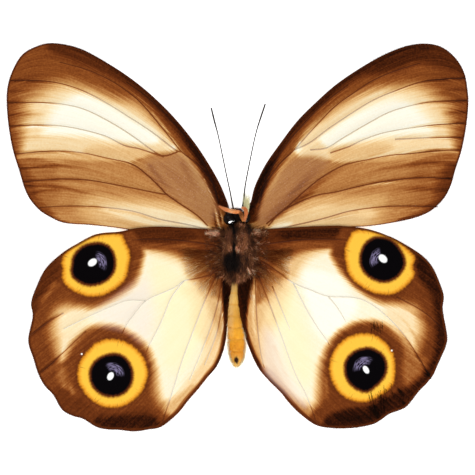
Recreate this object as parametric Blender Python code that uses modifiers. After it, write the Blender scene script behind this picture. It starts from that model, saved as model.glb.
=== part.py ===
"""Spread specimen of an owl-eyed butterfly, lying on its back with the underside of its wings up.

Metres, +Z up, +Y towards the head, +X to the right as seen from above. The origin is on the
surface that the specimen rests on, under the middle of its box. Left means -X.
"""

import math

import bmesh
import bpy
from mathutils import Matrix, Vector

MM = 0.001

# Clearance between neighbours, and how finely round things are cut
GAP = 0.3 * MM
SMOOTH_ANGLE = math.radians(50)
WELD = 1e-6

# Wings: thickness, the cells of their sheets and the height of the cutters
WING_THICKNESS = 0.3 * MM
WING_CELL = 3.6 * MM
WING_MARGIN = 2.0 * MM
CUTTER_HALF_HEIGHT = 9.0 * MM
OUTLINE_STEPS = 2

# How the wings droop from their roots to the surface they rest on
HINGE_X = 4.5 * MM
ROOT_HEIGHT = 1.5 * MM
TIP_DROP = 1.335 * MM
TIP_REACH = 52.9 * MM
DROOP_POWER = 1.2
HINDWING_LIFT = 0.62 * MM
HINDWING_SINK = 0.17 * MM
SINK_START_Y = -5.0 * MM
SINK_LENGTH = 32.0 * MM

# Veins stand a little proud of the upper face
VEIN_SIDES = 6
VEIN_LIFT = 0.07 * MM
COSTA_INSET = 0.25 * MM

# Outlines of the wings, in millimetres, from the front of the root round the tip to the back
FOREWING_LEFT_OUTLINE = [
    (-1.2, 6.1), (-2.1, 7.5), (-3.5, 10.6), (-5.6, 14.5), (-8.6, 19.1), (-12.5, 24.2),
    (-17.1, 28.8), (-21.7, 32.1), (-26.2, 35.2), (-31.7, 37.6), (-36.9, 38.6), (-40.2, 37.8),
    (-42.9, 36.1), (-44.9, 33.1), (-45.9, 29.7), (-46.1, 26.1), (-45.6, 21.8), (-44.7, 17.5),
    (-43.5, 13.6), (-41.8, 8.7), (-39.6, 5.7), (-37.1, 3.9), (-34.4, 3.0), (-29.2, 2.5),
    (-23.8, 1.7), (-17.4, 0.6), (-10.5, -0.3), (-4.7, -0.9), (-1.5, -0.7), (-0.9, 2.9),
]
FOREWING_RIGHT_OUTLINE = [
    (1.9, 6.1), (2.7, 6.9), (3.6, 10.0), (5.7, 14.2), (8.5, 18.5), (12.1, 23.0),
    (15.8, 26.7), (19.7, 30.0), (24.2, 33.3), (28.8, 36.1), (33.4, 38.0), (37.3, 38.5),
    (40.6, 37.9), (43.4, 35.8), (45.2, 32.7), (46.0, 29.1), (46.1, 26.1), (45.6, 22.1),
    (44.6, 17.5), (43.5, 13.3), (42.5, 10.3), (40.9, 7.9), (38.5, 5.7), (35.5, 4.2),
    (31.8, 3.1), (27.3, 2.2), (21.6, 1.7), (16.6, 0.7), (10.6, -0.2), (5.4, -0.9),
    (1.8, -0.7), (1.2, 2.9),
]
HINDWING_LEFT_OUTLINE = [
    (-1.1, 0.1), (-5.6, 1.4), (-11.1, 1.8), (-15.6, 2.0), (-20.1, 1.7), (-23.5, 1.0),
    (-28.1, 0.5), (-32.2, -1.2), (-35.3, -3.2), (-38.4, -6.2), (-40.2, -9.6), (-41.2, -13.2),
    (-41.1, -16.0), (-41.7, -20.8), (-40.9, -24.3), (-39.8, -27.5), (-38.2, -29.7),
    (-36.6, -31.6), (-35.0, -34.5), (-32.9, -35.9), (-30.8, -36.6), (-28.2, -38.1),
    (-25.9, -38.7), (-23.5, -38.6), (-20.7, -38.9), (-17.7, -38.5), (-15.2, -37.8),
    (-11.9, -35.4), (-9.9, -32.7), (-8.0, -30.3), (-5.9, -28.1), (-4.0, -25.6),
    (-2.5, -21.4), (-2.0, -16.3), (-1.6, -12.7), (-1.7, -9.3), (-1.1, -5.1),
]
HINDWING_RIGHT_OUTLINE = [
    (1.6, 0.1), (5.4, 1.4), (10.6, 1.8), (16.7, 2.1), (21.2, 2.1), (26.1, 1.5),
    (30.3, 0.1), (34.2, -1.8), (37.3, -4.1), (39.1, -6.5), (40.6, -9.6), (41.3, -12.0),
    (41.2, -14.7), (42.0, -19.9), (41.9, -22.1), (40.9, -23.9), (40.0, -25.9), (39.1, -27.7),
    (37.6, -29.5), (36.4, -30.9), (34.0, -33.9), (32.0, -34.5), (30.3, -35.4), (28.6, -36.7),
    (27.0, -37.5), (24.0, -37.7), (21.2, -38.3), (18.6, -38.1), (15.8, -37.5), (13.0, -35.1),
    (10.8, -32.7), (9.1, -30.8), (6.6, -28.7), (4.5, -26.3), (2.7, -22.9), (1.2, -18.1),
    (0.3, -12.9), (0.2, -9.3), (1.8, -5.1),
]
COSTA_POINTS = 12

# Main veins: radius at the root, radius at the margin, then the route in millimetres
FOREWING_LEFT_VEINS = {
    "radius": (0.26, 0.17, [(-3.9, 6.8), (-5.0, 10.9), (-8.0, 14.5), (-11.1, 16.9),
                            (-14.1, 20.6), (-18.7, 26.1), (-23.0, 29.6), (-29.0, 32.4)]),
    "media": (0.26, 0.16, [(-5.8, 2.1), (-8.0, 4.2), (-11.1, 6.3), (-14.1, 8.4), (-19.3, 13.3),
                           (-21.7, 14.7), (-30.8, 16.7), (-39.9, 16.9), (-44.2, 16.6)]),
    "anal": (0.24, 0.16, [(-5.8, 0.6), (-15.6, 2.5), (-21.1, 5.0), (-30.0, 5.9), (-39.4, 6.6)]),
}
FOREWING_RIGHT_VEINS = {
    "radius": (0.26, 0.17, [(4.4, 7.0), (5.6, 10.9), (8.4, 14.9), (11.5, 17.4),
                            (14.6, 21.2), (19.0, 26.3), (23.6, 30.0), (29.4, 32.8)]),
    "media": (0.26, 0.16, [(5.6, 2.1), (9.1, 5.1), (12.6, 7.6), (15.1, 9.9), (17.0, 11.8),
                           (21.2, 14.2), (30.3, 16.2), (39.4, 17.2), (44.1, 17.2)]),
    "anal": (0.24, 0.16, [(5.8, 0.6), (15.8, 2.5), (21.6, 5.0), (30.3, 5.9), (39.5, 6.7)]),
}
HINDWING_LEFT_VEINS = {
    "media": (0.26, 0.17, [(-3.6, -6.5), (-6.3, -8.0), (-10.7, -8.9), (-17.1, -12.2),
                           (-21.7, -12.8), (-28.1, -15.3), (-34.6, -15.6), (-40.2, -18.8)]),
    "cubitus": (0.25, 0.16, [(-10.7, -8.9), (-13.2, -12.3), (-15.3, -17.1), (-17.4, -21.4),
                             (-19.4, -30.0), (-20.4, -37.8)]),
    "anal": (0.24, 0.16, [(-4.2, -8.2), (-6.5, -12.9), (-11.1, -25.1), (-14.3, -35.2)]),
}
HINDWING_RIGHT_VEINS = {
    "media": (0.26, 0.17, [(3.9, -4.4), (11.2, -9.3), (18.2, -12.0), (23.0, -12.2),
                           (26.1, -13.2), (29.1, -15.3), (32.8, -19.0), (35.5, -22.9),
                           (38.2, -27.2)]),
    "cubitus": (0.25, 0.16, [(11.2, -9.3), (13.6, -14.1), (15.8, -17.8), (17.9, -20.8),
                             (20.6, -29.0), (22.4, -37.0)]),
    "anal": (0.24, 0.16, [(4.4, -8.3), (6.0, -12.3), (8.5, -19.0), (11.5, -27.2), (14.9, -34.8)]),
}

# Chest: an egg cut flat where it rests, and the legs folded along it
THORAX_CENTRE = Vector((0.35, -2.9, 2.75)) * MM
THORAX_RADII = Vector((3.35, 5.85, 3.0)) * MM
THORAX_RINGS = (24, 14)
LEG_SIDES = 8
LEGS_LEFT = [(-1.2, 1.6, 0.45), (-1.75, -0.2, 0.75), (-1.65, -2.0, 0.7), (-0.95, -4.2, 0.4)]
LEGS_RIGHT = [(2.1, 1.4, 0.45), (1.95, -0.4, 0.8), (1.2, -2.4, 0.8), (0.75, -4.4, 0.45)]
LEG_RISE = 0.15 * MM

# Head and eyes
HEAD_CENTRE = Vector((-0.45, 4.2, 3.1)) * MM
HEAD_RADII = Vector((2.25, 1.7, 1.6)) * MM
HEAD_RINGS = (18, 10)
EYE_RINGS = (16, 10)
EYE_LEFT = (Vector((-1.65, 3.6, 3.75)) * MM, 1.35 * MM)
EYE_RIGHT = (Vector((1.45, 3.8, 3.3)) * MM, 1.25 * MM)

# Tubes of the head and the hind body: x, y, z and radius in millimetres
PALP_LEFT = [
    (0.1, 5.0, 4.8, 0.36), (-0.9, 4.95, 5.15, 0.5), (-2.0, 5.1, 5.1, 0.52),
    (-2.9, 5.65, 4.7, 0.34), (-3.7, 6.35, 4.2, 0.12),
]
PALP_RIGHT = [
    (0.9, 5.75, 4.3, 0.28), (1.45, 5.45, 4.85, 0.42), (1.6, 4.5, 5.1, 0.46),
    (1.2, 3.1, 5.1, 0.2),
]
PALP_SIDES = 10
ANTENNA_LEFT = [
    (-0.75, 5.4, 3.3, 0.14), (-1.15, 7.4, 3.2, 0.13), (-1.4, 8.8, 3.1, 0.11),
    (-2.2, 12.5, 2.8, 0.1), (-3.7, 19.7, 2.0, 0.1), (-4.6, 23.2, 1.5, 0.14),
    (-5.2, 25.7, 1.1, 0.16),
]
ANTENNA_RIGHT = [
    (1.0, 5.6, 3.3, 0.14), (1.3, 7.5, 3.2, 0.13), (1.65, 10.5, 3.0, 0.11),
    (2.7, 15.9, 2.5, 0.1), (3.75, 20.7, 1.9, 0.1), (4.8, 24.1, 1.5, 0.14),
    (5.6, 26.5, 1.1, 0.16),
]
ANTENNA_SIDES = 6
ABDOMEN_SIDES = 14
ABDOMEN = [
    (-0.4, -7.6, 3.1, 1.1), (-0.45, -9.0, 3.05, 0.7), (-0.45, -11.0, 2.95, 0.6),
    (-0.42, -13.7, 2.8, 0.78), (-0.3, -16.6, 2.6, 1.15), (-0.15, -19.4, 2.4, 1.58),
    (-0.1, -21.6, 2.25, 1.82), (-0.15, -23.4, 2.1, 1.62), (-0.3, -25.0, 1.95, 1.1),
    (-0.42, -26.1, 1.85, 0.3),
]
TUBE_STEPS = 2

# Colours of the underside
WING_BROWN = (0.30, 0.14, 0.06, 1)
WING_CREAM = (0.86, 0.70, 0.45, 1)
FUR_BROWN = (0.12, 0.06, 0.035, 1)
ABDOMEN_YELLOW = (0.82, 0.47, 0.10, 1)
PALP_ORANGE = (0.75, 0.22, 0.04, 1)
EYE_BLACK = (0.01, 0.008, 0.008, 1)


def clear_scene():
    """Remove every object that is in the scene."""
    for thing in list(bpy.data.objects):
        bpy.data.objects.remove(thing, do_unlink=True)


def new_collection(name):
    """Make a collection in the scene."""
    made = bpy.data.collections.new(name)
    bpy.context.scene.collection.children.link(made)
    return made


def material(name, colour, roughness):
    """A plain material with one colour and one roughness."""
    made = bpy.data.materials.new(name)
    made.use_nodes = True
    shader = made.node_tree.nodes["Principled BSDF"]
    shader.inputs["Base Color"].default_value = colour
    shader.inputs["Roughness"].default_value = roughness
    shader.inputs["Metallic"].default_value = 0.0
    return made


def add_object(name, mesh, collection):
    """Put a mesh into a collection as an object of its own."""
    made = bpy.data.objects.new(name, mesh)
    collection.objects.link(made)
    return made


def as_cutter(thing):
    """Show a helper object as wires only and keep it out of renders."""
    thing.hide_render = True
    thing.display_type = "WIRE"
    return thing


def shade_round(thing):
    """Smooth shading that keeps real edges sharp."""
    thing.data.shade_smooth()
    thing.data.set_sharp_from_angle(angle=SMOOTH_ANGLE)


def boolean(thing, other, operation):
    """Join, cut or trim an object with another one."""
    step = thing.modifiers.new(other.name, "BOOLEAN")
    step.operation = operation
    step.solver = "EXACT"
    step.object = other


def curve_to_mesh(name, curve, collection):
    """Turn a curve into a closed mesh object with its caps welded."""
    holder = bpy.data.objects.new(name + " curve", curve)
    collection.objects.link(holder)
    bpy.context.view_layer.update()
    ready = holder.evaluated_get(bpy.context.evaluated_depsgraph_get())
    mesh = bpy.data.meshes.new_from_object(ready)
    shape = bmesh.new()
    shape.from_mesh(mesh)
    bmesh.ops.remove_doubles(shape, verts=shape.verts, dist=WELD)
    bmesh.ops.recalc_face_normals(shape, faces=shape.faces)
    shape.to_mesh(mesh)
    shape.free()
    made = add_object(name, mesh, collection)
    made.matrix_world = holder.matrix_world
    bpy.data.objects.remove(holder, do_unlink=True)
    return made


def smooth_points(spline, points):
    """Give a spline automatic Bezier handles through the points."""
    spline.bezier_points.add(len(points) - 1)
    for knot, point in zip(spline.bezier_points, points):
        knot.co = Vector(point[:3]) * MM
        knot.handle_left_type = "AUTO"
        knot.handle_right_type = "AUTO"


def tube(name, points, sides, collection):
    """A closed tube through points of x, y, z and radius, all in millimetres."""
    curve = bpy.data.curves.new(name, "CURVE")
    curve.dimensions = "3D"
    curve.bevel_depth = MM
    curve.bevel_resolution = (sides - 4) // 2
    curve.resolution_u = TUBE_STEPS
    curve.use_fill_caps = True
    spline = curve.splines.new("BEZIER")
    smooth_points(spline, points)
    for knot, point in zip(spline.bezier_points, points):
        knot.radius = point[3]
    return curve_to_mesh(name, curve, collection)


def outline_prism(name, outline, collection):
    """A tall solid with a wing's outline, to trim its sheet with."""
    curve = bpy.data.curves.new(name, "CURVE")
    curve.dimensions = "2D"
    curve.fill_mode = "BOTH"
    curve.extrude = CUTTER_HALF_HEIGHT
    curve.resolution_u = OUTLINE_STEPS
    spline = curve.splines.new("BEZIER")
    smooth_points(spline, [(x, y, 0.0) for x, y in outline])
    spline.use_cyclic_u = True
    return as_cutter(curve_to_mesh(name, curve, collection))


def egg(name, centre, radii, rings, grow, collection):
    """An ellipsoid whose three radii are grown by the same amount."""
    mesh = bpy.data.meshes.new(name)
    shape = bmesh.new()
    bmesh.ops.create_uvsphere(shape, u_segments=rings[0], v_segments=rings[1], radius=1.0)
    size = Matrix.Diagonal(Vector([radius + grow for radius in radii])).to_4x4()
    shape.transform(Matrix.Translation(centre) @ size)
    shape.to_mesh(mesh)
    shape.free()
    return add_object(name, mesh, collection)


def flatten_base(thing):
    """Cut an object flat at the resting surface and close the cut."""
    shape = bmesh.new()
    shape.from_mesh(thing.data)
    parts = list(shape.verts) + list(shape.edges) + list(shape.faces)
    cut = bmesh.ops.bisect_plane(
        shape, geom=parts, plane_co=(0, 0, 0), plane_no=(0, 0, -1), clear_outer=True
    )
    rim = [edge for edge in cut["geom_cut"] if isinstance(edge, bmesh.types.BMEdge)]
    bmesh.ops.contextual_create(shape, geom=rim)
    bmesh.ops.recalc_face_normals(shape, faces=shape.faces)
    shape.to_mesh(thing.data)
    shape.free()


def smoothstep(value):
    """Ease from 0 to 1."""
    value = min(max(value, 0.0), 1.0)
    return value * value * (3 - 2 * value)


def forewing_height(x, y):
    """Middle of a forewing's thickness above the surface: high at the root, down at the tip."""
    reach = math.hypot(abs(x) - HINGE_X, y)
    return ROOT_HEIGHT - TIP_DROP * (reach / TIP_REACH) ** DROOP_POWER


def hindwing_height(x, y):
    """The hindwing lies over the forewing, and comes down behind it."""
    back = smoothstep((SINK_START_Y - y) / SINK_LENGTH)
    return forewing_height(x, y) + HINDWING_LIFT * (1 - back) - HINDWING_SINK * back


def wing_sheet(name, outline, height, collection):
    """A gently bent sheet that covers the outline's box, with its thickness as a modifier."""
    xs = [x * MM for x, y in outline]
    ys = [y * MM for x, y in outline]
    low = Vector((min(xs) - WING_MARGIN, min(ys) - WING_MARGIN, 0))
    high = Vector((max(xs) + WING_MARGIN, max(ys) + WING_MARGIN, 0))
    size = high - low
    mesh = bpy.data.meshes.new(name)
    shape = bmesh.new()
    bmesh.ops.create_grid(
        shape,
        x_segments=round(size.x / WING_CELL),
        y_segments=round(size.y / WING_CELL),
        size=0.5,
        matrix=Matrix.Translation((low + high) / 2) @ Matrix.Diagonal((size.x, size.y, 1, 1)),
    )
    for corner in shape.verts:
        corner.co.z = height(corner.co.x, corner.co.y)
    shape.to_mesh(mesh)
    shape.free()
    sheet = add_object(name, mesh, collection)
    thick = sheet.modifiers.new("thickness", "SOLIDIFY")
    thick.thickness = WING_THICKNESS
    thick.offset = 0.0
    return sheet


def inset(points, distance):
    """Shift an open row of outline points to the inner side of a wing, in millimetres."""
    moved = []
    for before, point, after in zip(points, points[1:], points[2:]):
        along = Vector((after[0] - before[0], after[1] - before[1])).normalized()
        inward = Vector((-along.y, along.x))
        if inward.y > 0:
            inward = -inward
        moved.append((point[0] + inward.x * distance, point[1] + inward.y * distance))
    return moved


def vein(name, route, radii, height, collection):
    """A tapered ridge along a route on a wing."""
    points = []
    for step, (x, y) in enumerate(route):
        share = step / (len(route) - 1)
        radius = radii[0] + (radii[1] - radii[0]) * share
        level = height(x * MM, y * MM) + VEIN_LIFT
        points.append((x, y, level / MM, radius))
    return as_cutter(tube(name, points, VEIN_SIDES, collection))


def wing(name, outline, veins, height, clearances, collections):
    """One wing: a sheet trimmed to its outline, with its main veins, cut clear of the body."""
    parts, cutters = collections
    sheet = wing_sheet(name, outline, height, parts)
    boolean(sheet, outline_prism(name + " outline", outline, cutters), "INTERSECT")
    for label, (root, margin, route) in veins.items():
        ridge = vein(name + " " + label, route, (root, margin), height, cutters)
        boolean(sheet, ridge, "UNION")
    for clearance in clearances:
        boolean(sheet, clearance, "DIFFERENCE")
    return sheet


def costa(outline):
    """The thick vein along a forewing's leading edge."""
    return (0.3, 0.19, inset(outline[1:COSTA_POINTS], COSTA_INSET / MM))


def thorax_top(x, y):
    """Height of the chest's upper face at a place, in metres."""
    across = (x - THORAX_CENTRE.x) / THORAX_RADII.x
    along = (y - THORAX_CENTRE.y) / THORAX_RADII.y
    return THORAX_CENTRE.z + THORAX_RADII.z * math.sqrt(1 - across ** 2 - along ** 2)


def folded_legs(name, route, collection):
    """Legs folded into one bundle along the chest."""
    points = []
    for x, y, radius in route:
        level = thorax_top(x * MM, y * MM) + LEG_RISE
        points.append((x, y, level / MM, radius))
    return tube(name, points, LEG_SIDES, collection)


def build():
    """Make every piece."""
    clear_scene()
    parts = new_collection("butterfly specimen")
    cutters = new_collection("cutters")

    thorax = egg("thorax", THORAX_CENTRE, THORAX_RADII, THORAX_RINGS, 0, parts)
    flatten_base(thorax)
    thorax_room = egg("thorax room", THORAX_CENTRE, THORAX_RADII, THORAX_RINGS, GAP, cutters)
    head = egg("head", HEAD_CENTRE, HEAD_RADII, HEAD_RINGS, 0, parts)
    head_room = egg("head room", HEAD_CENTRE, HEAD_RADII, HEAD_RINGS, GAP, cutters)
    boolean(head, thorax_room, "DIFFERENCE")
    pieces = {thorax: material("thorax fur", FUR_BROWN, 0.9)}
    pieces[head] = material("head fur", FUR_BROWN, 0.9)

    eye_rooms = []
    for side, (centre, radius) in (("left", EYE_LEFT), ("right", EYE_RIGHT)):
        radii = (radius, radius, radius)
        eye = egg("eye_" + side, centre, radii, EYE_RINGS, 0, parts)
        room = egg("eye room " + side, centre, radii, EYE_RINGS, GAP, cutters)
        boolean(head, room, "DIFFERENCE")
        boolean(eye, thorax_room, "DIFFERENCE")
        eye_rooms.append(room)
        pieces[eye] = material("eye " + side, EYE_BLACK, 0.08)

    for side, route in (("left", PALP_LEFT), ("right", PALP_RIGHT)):
        palp = tube("palp_" + side, route, PALP_SIDES, parts)
        for room in [head_room] + eye_rooms:
            boolean(palp, room, "DIFFERENCE")
        pieces[palp] = material("palp " + side, PALP_ORANGE, 0.6)
    for side, route in (("left", ANTENNA_LEFT), ("right", ANTENNA_RIGHT)):
        antenna = tube("antenna_" + side, route, ANTENNA_SIDES, parts)
        boolean(antenna, head_room, "DIFFERENCE")
        pieces[antenna] = material("antenna " + side, FUR_BROWN, 0.5)
    for side, route in (("left", LEGS_LEFT), ("right", LEGS_RIGHT)):
        legs = folded_legs("legs_" + side, route, parts)
        boolean(legs, thorax_room, "DIFFERENCE")
        pieces[legs] = material("legs " + side, FUR_BROWN, 0.85)

    abdomen = tube("abdomen", ABDOMEN, ABDOMEN_SIDES, parts)
    boolean(abdomen, thorax_room, "DIFFERENCE")
    abdomen_room = as_cutter(
        tube("abdomen room", [(*p[:3], p[3] + GAP / MM) for p in ABDOMEN], ABDOMEN_SIDES, cutters)
    )
    pieces[abdomen] = material("abdomen", ABDOMEN_YELLOW, 0.7)

    rooms = [thorax_room, head_room, abdomen_room] + eye_rooms
    both = (parts, cutters)
    fore = (
        ("left", FOREWING_LEFT_OUTLINE, FOREWING_LEFT_VEINS),
        ("right", FOREWING_RIGHT_OUTLINE, FOREWING_RIGHT_VEINS),
    )
    for side, outline, veins in fore:
        ridges = dict(veins, costa=costa(outline))
        made = wing("forewing_" + side, outline, ridges, forewing_height, rooms, both)
        pieces[made] = material("forewing " + side, WING_BROWN, 0.75)
    hind = (
        ("left", HINDWING_LEFT_OUTLINE, HINDWING_LEFT_VEINS),
        ("right", HINDWING_RIGHT_OUTLINE, HINDWING_RIGHT_VEINS),
    )
    for side, outline, veins in hind:
        made = wing("hindwing_" + side, outline, veins, hindwing_height, rooms, both)
        pieces[made] = material("hindwing " + side, WING_CREAM, 0.75)

    for piece, finish in pieces.items():
        piece.data.materials.append(finish)
        shade_round(piece)
    for cutter in cutters.objects:
        as_cutter(cutter)


build()
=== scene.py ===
"""Dresses the spread owl-eyed butterfly: patterned wings with veins, fur, eyes, antennae and a stage.

Metres, +Z up, +Y towards the head. The underside of the wings is up. Left means -X.
Sizes in the code are millimetres unless a comment says otherwise, and MM turns them into metres.
"""

import math

import bpy
import numpy as np
from bpy.props import FloatProperty, FloatVectorProperty, IntProperty, PointerProperty
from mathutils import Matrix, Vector


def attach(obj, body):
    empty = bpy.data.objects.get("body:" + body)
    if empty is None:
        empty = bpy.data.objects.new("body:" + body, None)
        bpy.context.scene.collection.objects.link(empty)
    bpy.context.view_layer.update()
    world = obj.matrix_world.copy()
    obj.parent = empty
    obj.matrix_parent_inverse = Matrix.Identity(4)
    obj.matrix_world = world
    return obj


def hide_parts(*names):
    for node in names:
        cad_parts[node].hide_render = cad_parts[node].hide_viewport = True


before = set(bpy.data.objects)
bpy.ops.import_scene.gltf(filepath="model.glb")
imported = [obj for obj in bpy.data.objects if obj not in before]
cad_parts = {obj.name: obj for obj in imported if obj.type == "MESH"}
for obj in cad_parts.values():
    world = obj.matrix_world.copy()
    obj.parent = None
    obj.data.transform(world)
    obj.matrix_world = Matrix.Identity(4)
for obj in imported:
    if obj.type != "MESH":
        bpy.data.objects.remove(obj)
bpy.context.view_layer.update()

bl_info = {
    "name": "Butterfly specimen",
    "version": (1, 0, 0),
    "blender": (4, 5, 0),
    "location": "View3D > Sidebar > Butterfly",
    "description": "Wings, fur and stage for a spread butterfly specimen",
    "category": "Object",
}

MM = 0.001
SEED = 7

# How the wings droop from their roots to the surface, as on the solids
HINGE_X = 4.5
ROOT_HEIGHT = 1.5
TIP_DROP = 1.335
TIP_REACH = 52.9
DROOP_POWER = 1.2
HINDWING_LIFT = 0.62
HINDWING_SINK = 0.17
SINK_START_Y = -5.0
SINK_LENGTH = 32.0

# Sheets of the wings: cells from root to margin, cells from front to back, points between knots
CELLS_ALONG = 176
CELLS_ACROSS = 136
KNOT_STEPS = 6

# Two points of a tube are one if they are this close, in metres
WELD = 1e-7

# A hair's rings, as shares of its length, and how many hairs each coat has before any are left out
HAIR_RINGS = (0.35, 0.7)
ROOT_HAIRS = 2600
COLLAR_HAIRS = 1300
KNOT_HAIRS = 2400
LEG_HAIRS = 1500
HEAD_HAIRS = 2600
TUFT_HAIRS = 190
PALP_HAIRS = 800
DOWN_HAIRS = 4600
END_HAIRS = 9000

# How dark the wing is round an eyespot, how much of a stroke's end fades, and the step for slopes
HALO_TONE = 0.3
HALO_STRENGTH = 0.8
FADING_SHARE = 0.4
SLOPE_STEP = 0.3

# Relief of the scales in metres, the dark strands' tone, and the spacing of the fringe
SCALE_RELIEF = 0.00004
STRAND_TONE = 0.02
FRINGE_SPACING = 0.11

# Widths of hairs at their roots
STRAND_WIDTH = 0.04
DOWN_WIDTH = 0.024
END_WIDTH = 0.026
FRINGE_WIDTH = 0.035

# Length of a ring of the hind body, and where the rings start
RING_LENGTH = 2.3
RING_START = -9.0

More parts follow.
